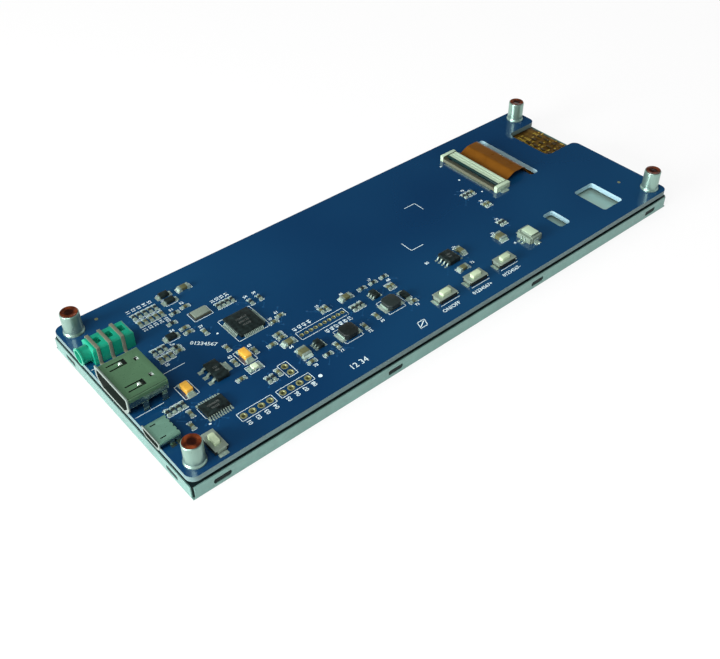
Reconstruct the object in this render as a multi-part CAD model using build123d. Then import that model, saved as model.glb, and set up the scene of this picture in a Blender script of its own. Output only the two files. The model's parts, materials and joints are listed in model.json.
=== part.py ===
from build123d import *
import os

# A bar-shaped IPS LCD module with its driver board on the back.
# It lies display face down: z = 0 is the bezel's front face and the board is on top.
# X runs from the connector end to the far end, Y from the button edge to the other long edge.
# All sizes are in millimetres.

# Driving sizes of the display module
module_length = 175.4
module_width = 65.4
bezel_height = 3.9
sheet = 0.3
window_near_rim = 4.4
window_far_rim = 9.5
window_side_rim = 2.4
corner_seam = 0.7
catch_slot = (4.8, 1.5)
catch_slot_z = 1.75
catch_margin = 0.3
catch_reach = 0.2
catch_from_end = 8.1
catch_from_side = 8.6
catch_from_middle = 27.0
frame_gap = 0.1
frame_end_wall = 2.1
frame_side_wall = 0.6
frame_end_shelf = 1.2
frame_side_shelf = 0.7
glass_thickness = 0.5
glass_gap = 0.2
chip_ledge = 4.3
polariser_thickness = 0.15
polariser_margin = 0.3
prism_thickness = 0.25
diffuser_thickness = 0.2
reflector_thickness = 0.2
led_count = 12
led_size = (1.2, 3.0, 1.2)
led_gap = 0.2
led_strip_width = 3.2
driver_chip_size = (1.6, 22.0, 0.25)
driver_chip_gap = 0.6

# Driving sizes of the flexible circuit
flex_from_edge = 19.6
flex_width = 20.5
flex_thickness = 0.2
flex_room = 0.45
flex_bend = 0.6
flex_bond = 1.7
flex_arch_height = 2.5
flex_arch_bend = 2.0
flex_arch_run = 4.2
flex_entry_run = 0.8
flex_slot_run = 1.15
flex_rise_run = 3.15
flex_hold = 3.4
flex_part = (1.6, 0.8, 0.4)
flex_part_rows = [3.4, 6.2, 9.0]
flex_part_columns = [-5.6, -2.4, 0.8, 4.0]

# Driving sizes of the driver board
board_inset = 0.2
board_thickness = 1.6
board_corner = 2.4
tape_thickness = 1.1
tape_width = 3.0
tape_inset = 1.3
tape_clear = 1.5
notch_depth = 13.5
notch_width = 17.5
notch_offset = 0.65
notch_corner = 2.2
slot_width = 3.5
slot_extra = 4.5
slot_from_far_end = 24.75
big_window = (8.7, 12.3)
big_window_from_far_end = 19.85
big_window_from_edge = 11.65
small_window = (4.5, 7.5)
small_window_x = 48.75
small_window_from_edge = 12.25
window_corner = 1.0

# Driving sizes of the plated holes: pad radius, bore radius, pitch
wide_header = (0.95, 0.5, 2.54)
fine_header = (0.6, 0.35, 1.5)
hole_sides = 12
plating = 0.08
pad_thickness = 0.05

# Where each header starts: distance from the connector end, distance from the button edge
wide_header_starts = [(19.9, 8.1), (31.3, 8.1)]
wide_header_count = 4
pair_header_start = (37.0, 15.0)
pair_header_count = 2
fine_header_start = (47.3, 21.3)
fine_header_count = 10

# Driving sizes of the spacers
spacer_height = 6.4
spacer_radius = 2.5
spacer_bore = 1.25
spacer_collar_radius = 2.8
spacer_collar = (0.35, 0.8)
spacer_rim = 0.2
film_radius = 2.25
film_thickness = 0.12
spacer_inset_x = 4.0
spacer_inset_y = 4.2

# Driving sizes of the HDMI receptacle
hdmi_y = -0.7
hdmi_overhang = 0.6
hdmi_depth = 11.0
hdmi_width = 14.6
hdmi_low_width = 10.6
hdmi_top = 6.1
hdmi_bottom = 0.65
hdmi_shoulder = 2.9
hdmi_sheet = 0.35
hdmi_flare = 0.45
hdmi_round = 0.6
hdmi_tongue = (0.9, 12.0, 1.2)
hdmi_block_start = 5.5
hdmi_pitch = 1.0
hdmi_finger = (1.9, 4.7, 2.2)
hdmi_slit = 0.4
hdmi_tip_gap = 1.0
hdmi_finger_y = 4.4
hdmi_dimple = 0.5
hdmi_hole = (1.0, 1.3)
hdmi_hole_place = (8.9, 3.5)
hdmi_leg_places = [4.6, 9.7]
hdmi_leg_width = 1.4
leg_gap = 0.12

# Driving sizes of the micro USB receptacle
usb_y = -17.7
usb_overhang = 0.7
usb_depth = 5.8
usb_width = 7.0
usb_low_width = 5.2
usb_top = 2.65
usb_bottom = 0.3
usb_shoulder = 1.4
usb_sheet = 0.25
usb_flare = 0.28
usb_round = 0.3
usb_tongue = (0.7, 3.6, 0.5)
usb_block_start = 3.2
usb_pitch = 0.65
usb_notch = (1.3, 1.5, 0.35)
usb_notch_y = 2.3
usb_rear_slot = (0.25, 0.5)
usb_rear_slot_pitch = 1.5
usb_rear_slot_count = 4
usb_tab = (1.3, 0.8)

# Sizes that both receptacles share
contact_width = 0.28
contact_sheet = 0.15
contact_foot = 0.9
block_clearance = 0.06
block_inset = 0.4

# Driving sizes of the audio jack
jack_y = 16.0
jack_body = (11.2, 5.8, 5.0)
jack_edge_inset = 2.1
jack_chamfer = 0.5
jack_nose_length = 2.8
jack_nose_radius = 2.2
jack_nose_rim = (0.5, 0.2)
jack_bore_radius = 1.8
jack_bore_length = 12.2
jack_band = (0.9, 0.15)
jack_band_places = [1.0, 4.3, 7.7]
jack_foot = 0.9
jack_window = (1.5, 2.2)

# Driving sizes of the flex connector
fpc_from_far_end = 42.5
fpc_depth = 5.8
fpc_length = 25.0
fpc_ear = 1.3
fpc_entry = 0.75
fpc_rim = (0.4, 1.1)
fpc_floor = (1.9, 0.6)
fpc_sill = 0.9
fpc_arm = 0.2
fpc_contact_count = 40
fpc_pitch = 0.5
fpc_contact_width = 0.2
fpc_tail = 0.7
latch_thickness = 0.9
latch_end_gap = 0.3
latch_lift = 0.1
latch_pivot_inset = 2.15
latch_free_inset = 0.3
latch_pin_radius = 0.3
latch_pin_length = 0.8
latch_pin_gap = 0.06
latch_groove = (0.3, 0.12)
latch_groove_shares = [0.3, 0.65]

# Driving sizes of the four buttons
switch_body = (6.0, 3.5, 1.3)
switch_cover = 0.2
switch_skirt = (0.8, 2.45)
switch_pocket = (4.0, 2.4, 0.75)
switch_plunger = (3.2, 1.6)
switch_plunger_gap = 0.1
switch_height = 2.4
switch_flange = (3.8, 2.2, 0.28)
switch_flange_gap = 0.02
switch_dome = (1.1, 0.6, 0.15)
switch_leg = (0.9, 2.0, 0.2)
button_inset = 8.1
button_row_x = 9.7
button_pitch = 11.6
side_button_from_end = 9.9
side_button_inset = 5.2

# Driving sizes of the wafer connector
wafer_x = 35.3
wafer_from_edge = 11.3
wafer_size = (4.6, 5.6, 2.6)
wafer_wall = 0.5
wafer_pitch = 1.25
wafer_pin = 0.4
wafer_pin_z = 1.3
wafer_nail = (1.8, 0.2)

# Bodies of the chips with leads: length, width, height
main_chip_size = (7.6, 8.4, 1.0)
driver_ic_size = (6.5, 4.4, 0.85)
power_ic_size = (4.0, 5.0, 1.5)
regulator_size = (3.5, 6.5, 1.3)
tiny_ic_size = (1.7, 2.9, 1.1)
lead_sheet = 0.15
lead_clear = 0.1
lead_knee_share = 0.3
lead_heel_share = 0.55

# Leads of the chips: pitch, reach, width
quad_lead = (0.5, 1.0, 0.24)
quad_short_reach = 0.6
quad_side_count = 12
twenty_lead = (0.65, 1.0, 0.28)
twenty_side_count = 10
eight_lead = (1.27, 1.2, 0.42)
eight_side_count = 4
six_lead = (0.95, 0.6, 0.35)
six_side_count = 3
regulator_lead = (2.3, 1.7, 0.75)
regulator_lead_count = 3
regulator_tab = (2.3, 1.7, 3.0)

# Where the chips stand: distance from the connector end, distance from the button edge
main_chip_place = (38.7, 34.6)
driver_ic_place = (16.3, 14.8)
regulator_place = (23.2, 24.3)
tiny_ic_places = [(71.7, 21.0), (48.2, 15.5)]

# The chip and parts beside the button row: x, distance from the button edge
power_ic_place = (10.5, 19.1)
row_resistors = [(34.1, 21.5), (35.6, 21.5)]
row_large_capacitor = (10.6, 13.6)
row_turned_capacitor = (15.6, 19.7)
row_wide_capacitor = (28.9, 16.7)

# Bodies of the other surface parts: length, width, height
small_chip = (1.6, 0.8, 0.5)
large_chip = (3.2, 1.6, 0.9)
wide_chip = (3.2, 2.5, 1.2)
chip_cap_share = 0.22
tantalum_size = (3.3, 2.1, 1.6)
inductor_size = (4.6, 4.4, 1.7)
diode_size = (2.6, 1.7, 1.0)
crystal_size = (5.0, 3.2, 0.45)
crystal_lid = (4.5, 2.7, 0.4)
led_lamp_size = (3.2, 1.6, 0.5)
led_lens = (1.6, 0.4)
led_lamp_place = (31.2, 19.5)
terminal_sheet = 0.2
tantalum_strap = 1.6
tantalum_places = [(14.4, 23.9), (31.8, 24.4)]
inductor_cut = 0.83
inductor_strap = 3.0
inductor_places = [(72.5, 15.2), (56.7, 14.0)]
diode_strap = 1.2
crystal_place = (32.2, 45.3)

# Where the small chip parts lie along X: distances from the connector end and the button edge
resistors_along = [
    (27.2, 49.8), (24.5, 46.8), (20.4, 38.4), (71.0, 25.3), (74.9, 25.3), (78.8, 25.3), (47.9, 11.3),
]
capacitors_along = [
    (30.7, 50.3), (26.0, 43.1), (26.0, 41.1), (20.4, 36.8), (44.8, 30.0), (47.6, 31.0), (39.3, 23.2),
    (26.4, 18.3), (42.8, 25.5), (42.8, 23.9), (43.2, 11.9), (78.0, 12.3),
]
large_capacitors = [(43.0, 21.1), (65.2, 25.2), (34.5, 57.1)]
diodes_along = [(21.5, 42.2), (28.8, 54.8), (28.7, 57.8)]

# Where the small chip parts lie across the board: distances from the connector end and the button edge
resistors_across = [
    (18.1, 55.1), (19.7, 55.1), (21.3, 55.1), (22.9, 55.1), (24.5, 55.1), (37.4, 44.7), (38.8, 44.7),
    (40.2, 44.7), (41.7, 44.7), (15.1, 40.1), (16.6, 40.1), (18.1, 40.1), (45.0, 40.5), (47.8, 40.5),
    (6.9, 20.3), (8.3, 20.3), (9.7, 20.3), (11.1, 20.3), (31.2, 13.7), (32.6, 13.7),
    (63.9, 20.5), (65.3, 20.5), (66.7, 20.5),
]
capacitors_across = [
    (18.1, 51.9), (19.7, 51.9), (21.3, 51.9), (22.9, 51.9), (24.5, 51.9), (15.1, 36.8), (16.6, 36.8),
    (18.1, 36.8), (29.2, 38.5), (30.0, 29.7), (28.5, 24.1), (34.8, 24.5), (10.9, 16.7), (9.0, 13.3),
    (34.6, 14.3), (76.8, 21.0), (78.2, 21.0), (66.6, 14.3), (51.6, 12.3), (61.7, 13.2),
    (57.0, 25.4), (58.6, 25.4),
]
wide_capacitor = (43.5, 15.5)
diode_across = (77.7, 15.5)

# Where the parts beside the flex connector lie: distance from the far end, offset from the flex's middle
far_resistors = [(51.3, -7.1), (49.6, -7.1)]
far_capacitors = [(47.9, -7.1), (49.9, -14.6), (48.4, -14.6)]

# Levels of the stack, from the display face upwards
z_glass = sheet
z_tft = z_glass + glass_thickness
z_films = z_tft + glass_thickness
z_prism = z_films + polariser_thickness
z_diffuser = z_prism + prism_thickness
z_guide = z_diffuser + diffuser_thickness
z_plate = bezel_height - sheet
z_reflector = z_plate - reflector_thickness
z_board = bezel_height + tape_thickness
z_top = z_board + board_thickness

# Each layer fits inside the one before it: bezel, frame, glass, films, and the board on the back
inside_length = module_length - 2 * sheet
inside_width = module_width - 2 * sheet
frame_length = inside_length - 2 * frame_gap
frame_width = inside_width - 2 * frame_gap
glass_length = frame_length - 2 * (frame_end_wall + glass_gap)
glass_width = frame_width - 2 * (frame_side_wall + glass_gap)
optics_length = glass_length - 2 * frame_end_shelf
optics_width = glass_width - 2 * frame_side_shelf
window_length = module_length - window_near_rim - window_far_rim
window_width = module_width - 2 * window_side_rim
window_shift = (window_near_rim - window_far_rim) / 2
board_length = module_length - 2 * board_inset
board_width = module_width - 2 * board_inset

# Ends of the board and the places that follow from them
near_end = -board_length / 2
far_end = board_length / 2
button_edge = -board_width / 2
flex_y = module_width / 2 - flex_from_edge
flex_end_x = inside_length / 2 - flex_room
slot_x = far_end - slot_from_far_end
fpc_x = far_end - fpc_from_far_end
fpc_height = fpc_entry + flex_thickness + latch_lift + latch_thickness


# A box between two corners
def block(x0, x1, y0, y1, z0, z1):
    centre = Pos((x0 + x1) / 2, (y0 + y1) / 2, (z0 + z1) / 2)
    return centre * Box(x1 - x0, y1 - y0, z1 - z0)


# A flat piece by its length and width about a centre, between two levels
def plate(length, width, z0, z1, x=0.0, y=0.0):
    return block(x - length / 2, x + length / 2, y - width / 2, y + width / 2, z0, z1)


# A box that stands on the level of its place, centred across it
def standing(size, z0=0.0):
    return plate(size[0], size[1], z0, z0 + size[2])


# A plate with round corners
def rounded_plate(size, radius, z0, z1, x=0.0, y=0.0):
    return extrude(Pos(x, y, z0) * RectangleRounded(size[0], size[1], radius), amount=z1 - z0)


# A round piece between two levels
def disc(radius, z0, z1):
    return Pos(0, 0, (z0 + z1) / 2) * Cylinder(radius, z1 - z0)


# A solid with its outline in the XZ plane, centred across Y
def side_profile(points, width):
    outline = Plane.XZ * make_face(Polyline(*points, close=True))
    return extrude(outline, amount=width / 2, both=True)


# A solid with a round-cornered outline in the YZ plane, running from x0 to x1
def end_profile(points, radius, x0, x1):
    outline = make_face(Polyline(*points, close=True))
    outline = fillet(outline.vertices(), radius)
    return Pos(x0, 0, 0) * extrude(Plane.YZ * outline, amount=x1 - x0)


# One sub-part is written as a STEP file with its solids side by side
def save(name, *shapes):
    solids = [solid for shape in shapes for solid in shape.solids()]
    whole = solids[0] if len(solids) == 1 else Compound(solids)
    export_step(whole, f"parts/{name}.step")


# A straight-sided hole or disc with enough sides to look round
def many_sided(radius, z0, z1):
    return extrude(Pos(0, 0, z0) * RegularPolygon(radius, hole_sides), amount=z1 - z0)


# Places on the board by their x and their distance from the button edge
def row_spot(x, from_edge, turn=0.0):
    return Pos(x, button_edge + from_edge, z_top) * Rot(0, 0, turn)


# Places in the group of chips at the connector end
def near_spot(from_end, from_edge, turn=0.0):
    return row_spot(near_end + from_end, from_edge, turn)


# Places beside the flex connector, which keep to the flexible circuit
def far_spot(from_end, offset, turn=0.0):
    return Pos(far_end - from_end, flex_y + offset, z_top) * Rot(0, 0, turn)


# Places on the four walls, each with its own Y pointing outwards
def wall_spots(half_length, half_width):
    end_x = module_length / 2 - catch_from_end
    side_y = module_width / 2 - catch_from_side
    spots = []
    for x in (-end_x, -catch_from_middle, catch_from_middle, end_x):
        spots.append(Pos(x, half_width, catch_slot_z))
        spots.append(Pos(x, -half_width, catch_slot_z) * Rot(0, 0, 180))
    for y in (-side_y, side_y):
        spots.append(Pos(half_length, y, catch_slot_z) * Rot(0, 0, -90))
        spots.append(Pos(-half_length, y, catch_slot_z) * Rot(0, 0, 90))
    return spots


# The folded sheet bezel: a face with the display window, four walls and open corner seams
def front_bezel():
    shell = plate(module_length, module_width, 0, bezel_height)
    shell -= plate(inside_length, inside_width, sheet, bezel_height)
    shell -= plate(window_length, window_width, 0, sheet, window_shift)
    seam_x = (module_length - corner_seam) / 2
    seam_y = (module_width - corner_seam) / 2
    for sx, sy in [(-1, -1), (-1, 1), (1, -1), (1, 1)]:
        shell -= plate(corner_seam, corner_seam, sheet, bezel_height, sx * seam_x, sy * seam_y)
    hole = RectangleRounded(catch_slot[0], catch_slot[1], catch_slot[1] / 3)
    cutter = extrude(Plane.XZ * hole, amount=2 * sheet, both=True)
    for spot in wall_spots(inside_length / 2, inside_width / 2):
        shell -= spot * cutter
    return shell


# The moulded frame: it holds the glass in front and the films and light guide behind
def mould_frame():
    frame = plate(frame_length, frame_width, z_glass, z_plate)
    frame -= plate(glass_length + 2 * glass_gap, glass_width + 2 * glass_gap, z_glass, z_films)
    frame -= plate(optics_length + 2 * glass_gap, optics_width + 2 * glass_gap, z_films, z_plate)
    reach = frame_gap + catch_reach
    catch = plate(catch_slot[0] - 2 * catch_margin, 2 * reach, -catch_slot[1] / 2 + catch_margin,
                  catch_slot[1] / 2 - catch_margin)
    for spot in wall_spots(frame_length / 2, frame_width / 2):
        frame += spot * catch
    channel = flex_width + 2 * glass_gap + 2 * frame_gap
    tunnel_top = z_tft + glass_gap
    frame -= block(glass_length / 2, frame_length / 2, flex_y - channel / 2, flex_y + channel / 2,
                   z_glass, tunnel_top)
    frame -= block(flex_end_x - flex_room + frame_gap, frame_length / 2, flex_y - channel / 2,
                   flex_y + channel / 2, z_glass, z_plate)
    return frame


# The sheet-metal back of the module, with a relief where the flexible circuit folds over it
def rear_plate():
    back = plate(frame_length, frame_width, z_plate, bezel_height)
    relief = flex_width + 2 * glass_gap
    start = flex_end_x - flex_bend - flex_room
    return back - block(start, frame_length / 2, flex_y - relief / 2, flex_y + relief / 2,
                        z_plate, bezel_height)


# The flat layers between the bezel and the back, as name and shape
def display_layers():
    optics_near = -optics_length / 2
    optics_far = optics_length / 2
    half = optics_width / 2
    guide_near = optics_near + led_size[0] + led_gap
    strip_far = optics_near + led_strip_width
    film_length = optics_length - 2 * polariser_margin
    film_width = optics_width - 2 * polariser_margin
    return [
        ("front_polariser", plate(window_length - 2 * polariser_margin,
                                  window_width - 2 * polariser_margin,
                                  z_glass - polariser_thickness, z_glass, window_shift)),
        ("filter_glass", plate(glass_length - chip_ledge, glass_width, z_glass, z_tft,
                               -chip_ledge / 2)),
        ("tft_glass", plate(glass_length, glass_width, z_tft, z_films)),
        ("rear_polariser", plate(film_length, film_width, z_films, z_prism)),
        ("prism_film", plate(optics_length, optics_width, z_prism, z_diffuser)),
        ("diffuser_film", plate(optics_length, optics_width, z_diffuser, z_guide)),
        ("light_guide", block(guide_near, optics_far, -half, half, z_guide, z_reflector)),
        ("reflector_film", block(strip_far, optics_far, -half, half, z_reflector, z_plate)),
        ("backlight_strip", block(optics_near, strip_far, -half, half, z_reflector, z_plate)),
    ]


# The row of lamps that shines into the end of the light guide
def backlight_lamps():
    pitch = optics_width / led_count
    x = (led_size[0] - optics_length) / 2
    lamps = []
    for i in range(led_count):
        y = (i + 0.5) * pitch - optics_width / 2
        lamps.append(plate(led_size[0], led_size[1], z_reflector - led_size[2], z_reflector, x, y))
    return lamps


# The bare driver chip on the ledge of the rear glass
def display_driver_chip():
    x = glass_length / 2 - chip_ledge + driver_chip_gap + driver_chip_size[0] / 2
    return plate(driver_chip_size[0], driver_chip_size[1], z_tft - driver_chip_size[2], z_tft,
                 x, flex_y)


# The route of the flexible circuit: glass ledge, round the end, over the back, up to the connector
def panel_flex():
    half = flex_thickness / 2
    ledge_x = glass_length / 2 - flex_bond
    entry_z = z_top + fpc_entry + half
    arch_z = z_top + flex_arch_height
    mouth_x = fpc_x + fpc_depth
    route = [
        (ledge_x, z_tft - half),
        (flex_end_x, z_tft - half),
        (flex_end_x, bezel_height + half),
        (slot_x + flex_slot_run, bezel_height + half),
        (slot_x - flex_rise_run, arch_z),
        (mouth_x + flex_arch_run, arch_z),
        (mouth_x + flex_entry_run, entry_z),
        (mouth_x - flex_hold, entry_z),
    ]
    bends = [flex_bend, flex_bend] + [flex_arch_bend] * 4
    ribbon = trace(FilletPolyline(*route, radius=bends), line_width=flex_thickness)
    return Pos(0, flex_y, 0) * extrude(Plane.XZ * ribbon, amount=flex_width / 2, both=True)


# Small parts soldered to the flexible circuit where the board's notch shows it
def flex_parts():
    level = bezel_height + flex_thickness
    parts = []
    for distance in flex_part_rows:
        for offset in flex_part_columns:
            place = Pos(far_end - distance, flex_y + offset, level) * Rot(0, 0, 90)
            parts.append(place * standing(flex_part))
    return parts


# Double-sided foam strips between the module's back and the board
def foam_tapes():
    edge_y = board_width / 2 - tape_inset - tape_width / 2
    end_x = board_length / 2 - tape_inset - tape_width / 2
    low = -edge_y + tape_width / 2 + tape_inset
    high = edge_y - tape_width / 2 - tape_inset
    flex_low = flex_y - flex_width / 2 - tape_clear
    levels = (bezel_height, z_board)
    long_strip = board_length - 2 * tape_inset
    return [
        plate(long_strip, tape_width, *levels, y=edge_y),
        plate(long_strip, tape_width, *levels, y=-edge_y),
        plate(tape_width, high - low, *levels, x=-end_x),
        plate(tape_width, high - low, *levels),
        plate(tape_width, flex_low - low, *levels, x=end_x, y=(low + flex_low) / 2),
    ]


# Plated holes of the headers, as (header, place)
def header_places():
    places = []
    for start, from_edge in wide_header_starts:
        for i in range(wide_header_count):
            places.append((wide_header, near_spot(start + i * wide_header[2], from_edge)))
    start, from_edge = fine_header_start
    for i in range(fine_header_count):
        places.append((fine_header, near_spot(start + i * fine_header[2], from_edge)))
    start, from_edge = pair_header_start
    for i in range(pair_header_count):
        places.append((wide_header, near_spot(start, from_edge - i * wide_header[2])))
    return places


# One plated hole: two ring pads joined by the barrel
def plated_hole(header):
    pad, bore = header[0], header[1]
    bottom = -board_thickness - pad_thickness
    eyelet = many_sided(bore + plating, bottom, pad_thickness)
    eyelet += many_sided(pad, 0, pad_thickness) + many_sided(pad, bottom, -board_thickness)
    return eyelet - many_sided(bore, bottom, pad_thickness)


# Places of the receptacle's side legs, in the receptacle's own frame
def hdmi_leg_spots():
    y = (hdmi_width - hdmi_sheet) / 2
    return [(x, side * y) for x in hdmi_leg_places for side in (-1, 1)]


# The driver board with its outline, notch, flex slot, windows and drilled holes
def driver_board():
    outline = RectangleRounded(board_length, board_width, board_corner)
    notch_y = flex_y + notch_offset
    outline -= Pos(far_end, notch_y) * Rectangle(2 * notch_depth, notch_width)
    corners = [v for v in outline.vertices()
               if v.X > far_end - notch_depth - 1 and abs(v.Y - notch_y) < notch_width / 2 + 1]
    outline = fillet(corners, notch_corner)
    board = Pos(0, 0, z_board) * extrude(outline, amount=board_thickness)
    levels = (z_board, z_top)
    board -= rounded_plate((slot_width, flex_width + slot_extra), window_corner, *levels, slot_x, flex_y)
    board -= rounded_plate(big_window, window_corner, *levels, far_end - big_window_from_far_end,
                           button_edge + big_window_from_edge)
    board -= rounded_plate(small_window, window_corner, *levels, small_window_x,
                           button_edge + small_window_from_edge)
    for header, place in header_places():
        board -= place * many_sided(header[1] + plating, -board_thickness, 0)
    leg_hole = (hdmi_leg_width + 2 * leg_gap, hdmi_sheet + 2 * leg_gap, board_thickness)
    for x, y in hdmi_leg_spots():
        board -= hdmi_spot() * Pos(x, y, 0) * standing(leg_hole, -board_thickness)
    return board


# Threaded round spacers soldered near the corners, and the film discs that close their bores
def spacer_spots():
    x = board_length / 2 - spacer_inset_x
    y = board_width / 2 - spacer_inset_y
    return [Pos(sx * x, sy * y, z_top) for sx in (-1, 1) for sy in (-1, 1)]


def spacer():
    low, high = spacer_collar
    points = [
        (spacer_bore, 0),
        (spacer_collar_radius, 0),
        (spacer_collar_radius, low),
        (spacer_radius, high),
        (spacer_radius, spacer_height - spacer_rim),
        (spacer_radius - spacer_rim, spacer_height),
        (spacer_bore, spacer_height),
    ]
    return revolve(Plane.XZ * make_face(Polyline(*points, close=True)), axis=Axis.Z)


def spacer_film():
    return disc(film_radius, spacer_height, spacer_height + film_thickness)


# Corners of a receptacle's mouth, wide above and narrower below, shrunk by a wall
def mouth_outline(width, low_width, top, bottom, shoulder, wall):
    half = width / 2 - wall
    low = low_width / 2 - wall
    return [(-half, top - wall), (half, top - wall), (half, shoulder), (low, bottom + wall),
            (-low, bottom + wall), (-half, shoulder)]


def hdmi_mouth(wall):
    return mouth_outline(hdmi_width, hdmi_low_width, hdmi_top, hdmi_bottom, hdmi_shoulder, wall)


def usb_mouth(wall):
    return mouth_outline(usb_width, usb_low_width, usb_top, usb_bottom, usb_shoulder, wall)


def hdmi_spot():
    return Pos(near_end - hdmi_overhang, hdmi_y, z_top)


def usb_spot():
    return Pos(near_end - usb_overhang, usb_y, z_top)


# The folded tin shell of the HDMI receptacle, with spring fingers, catches and four legs
def hdmi_shell():
    inner = hdmi_round - hdmi_sheet
    shell = end_profile(hdmi_mouth(0), hdmi_round, 0, hdmi_depth)
    shell += end_profile(hdmi_mouth(-hdmi_flare), hdmi_round, 0, hdmi_sheet)
    shell -= end_profile(hdmi_mouth(hdmi_sheet), inner, 0, hdmi_depth)
    start, length, width = hdmi_finger
    ceiling = hdmi_top - hdmi_sheet
    for side in (-1, 1):
        y = side * hdmi_finger_y
        shell -= block(start, start + length, y - width / 2, y + width / 2, ceiling, hdmi_top)
        tongue = width / 2 - hdmi_slit
        tip = start + length - hdmi_tip_gap
        shell += block(start, tip, y - tongue, y + tongue, ceiling, hdmi_top)
        shell += Pos(tip - hdmi_dimple, y, hdmi_top - hdmi_sheet / 2) * Sphere(hdmi_dimple)
        hole_x, hole_y = hdmi_hole_place[0], side * hdmi_hole_place[1]
        hole = Pos(hole_x, hole_y, ceiling) * standing((hdmi_hole[0], hdmi_hole[1], hdmi_sheet))
        catch = Pos(hole_x + hdmi_hole[0] / 4, hole_y, ceiling - hdmi_sheet / 2)
        shell = shell - hole + catch * standing((hdmi_hole[0] / 2, hdmi_hole[1] / 2, hdmi_sheet))
    floor_half = hdmi_low_width / 2 - hdmi_sheet
    shell -= block(hdmi_depth - 2 * contact_foot, hdmi_depth, -floor_half, floor_half,
                   hdmi_bottom, hdmi_bottom + hdmi_sheet)
    for x, y in hdmi_leg_spots():
        leg_height = hdmi_shoulder + board_thickness - leg_gap
        leg = standing((hdmi_leg_width, hdmi_sheet, leg_height), leg_gap - board_thickness)
        shell += Pos(x, y, 0) * leg
    return shell


# One contact strip: along the tongue, down behind the block and out as a soldered foot
def contact_strip(tip_x, drop_x, strip_top):
    t = contact_sheet
    points = [
        (tip_x, strip_top),
        (drop_x + t, strip_top),
        (drop_x + t, t),
        (drop_x + contact_foot, t),
        (drop_x + contact_foot, 0),
        (drop_x, 0),
        (drop_x, strip_top - t),
        (tip_x, strip_top - t),
    ]
    return side_profile(points, contact_width)


# Nineteen contacts: ten on the upper face of the tongue and nine on the lower face
def hdmi_contacts():
    tip = hdmi_tongue[0] + contact_sheet
    drop = hdmi_depth - block_inset + block_clearance
    middle = (hdmi_top + hdmi_shoulder / 2) / 2
    upper = contact_strip(tip, drop, middle + hdmi_tongue[2] / 2)
    lower = contact_strip(tip, drop, middle - hdmi_tongue[2] / 2 + contact_sheet)
    strips = [Pos(0, (i - 4.5) * hdmi_pitch, 0) * upper for i in range(10)]
    strips += [Pos(0, (i - 4) * hdmi_pitch, 0) * lower for i in range(9)]
    return strips


# The moulded block that closes the shell's back and carries the tongue
def hdmi_insulator():
    wall = hdmi_sheet + block_clearance
    middle = (hdmi_top + hdmi_shoulder / 2) / 2
    body = end_profile(hdmi_mouth(wall), hdmi_round - hdmi_sheet, hdmi_block_start,
                       hdmi_depth - block_inset)
    start, width, height = hdmi_tongue
    body += block(start, hdmi_block_start, -width / 2, width / 2, middle - height / 2,
                  middle + height / 2)
    hole_x, hole_y = hdmi_hole_place
    for side in (-1, 1):
        room = (hdmi_hole[0], hdmi_hole[1], hdmi_sheet)
        body -= Pos(hole_x, side * hole_y, hdmi_top - 2 * hdmi_sheet) * standing(room)
        body -= Pos(hdmi_finger[0] + hdmi_finger[1] - hdmi_tip_gap - hdmi_dimple,
                    side * hdmi_finger_y, hdmi_top - hdmi_sheet / 2) * Sphere(2 * hdmi_dimple)
    for strip in hdmi_contacts():
        body -= strip
    return body


# The folded shell of the micro USB receptacle, with a flared mouth and four soldered tabs
def usb_shell():
    inner = usb_round - usb_sheet / 2
    shell = end_profile(usb_mouth(0), usb_round, 0, usb_depth)
    shell += end_profile(usb_mouth(-usb_flare), usb_round, 0, usb_sheet)
    shell -= end_profile(usb_mouth(usb_sheet), inner, 0, usb_depth)
    start, length, width = usb_notch
    for side in (-1, 1):
        y = side * usb_notch_y
        shell -= block(start, start + length, y - width / 2, y + width / 2, usb_top - usb_sheet, usb_top)
    length, width = usb_rear_slot
    for i in range(usb_rear_slot_count):
        y = (i - (usb_rear_slot_count - 1) / 2) * usb_rear_slot_pitch
        shell -= block(usb_depth - length, usb_depth, y - width / 2, y + width / 2,
                       usb_top - usb_sheet, usb_top)
    floor_half = usb_low_width / 2 - usb_sheet
    shell -= block(usb_depth - 2 * contact_foot, usb_depth, -floor_half, floor_half,
                   usb_bottom, usb_bottom + usb_sheet)
    length, reach = usb_tab
    for x in (usb_notch[0] + usb_notch[1], usb_depth - length):
        for side in (-1, 1):
            inner_y = side * (usb_width / 2 - usb_sheet)
            outer_y = side * (usb_width / 2 + reach)
            wall_y = side * usb_width / 2
            shell += block(x, x + length, min(inner_y, wall_y), max(inner_y, wall_y), 0, usb_shoulder)
            shell += block(x, x + length, min(wall_y, outer_y), max(wall_y, outer_y), 0, usb_sheet)
    return shell


def usb_contacts():
    tip = usb_tongue[0] + contact_sheet
    drop = usb_depth - block_inset + block_clearance
    middle = (usb_top + usb_shoulder) / 2
    strip = contact_strip(tip, drop, middle - usb_tongue[2] / 2 + contact_sheet)
    return [Pos(0, (i - 2) * usb_pitch, 0) * strip for i in range(5)]


def usb_insulator():
    wall = usb_sheet + block_clearance
    middle = (usb_top + usb_shoulder) / 2
    body = end_profile(usb_mouth(wall), usb_round - usb_sheet / 2, usb_block_start,
                       usb_depth - block_inset)
    start, width, height = usb_tongue
    body += block(start, usb_block_start, -width / 2, width / 2, middle - height / 2,
                  middle + height / 2)
    for strip in usb_contacts():
        body -= strip
    for x in (usb_notch[0] + usb_notch[1], usb_depth - usb_tab[0]):
        body -= block(x - block_clearance, x + usb_tab[0] + block_clearance, -usb_width / 2,
                      -usb_width / 2 + wall, 0, usb_top)
        body -= block(x - block_clearance, x + usb_tab[0] + block_clearance, usb_width / 2 - wall,
                      usb_width / 2, 0, usb_top)
    return body


def jack_spot():
    return Pos(near_end + jack_edge_inset, jack_y, z_top)


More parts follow.
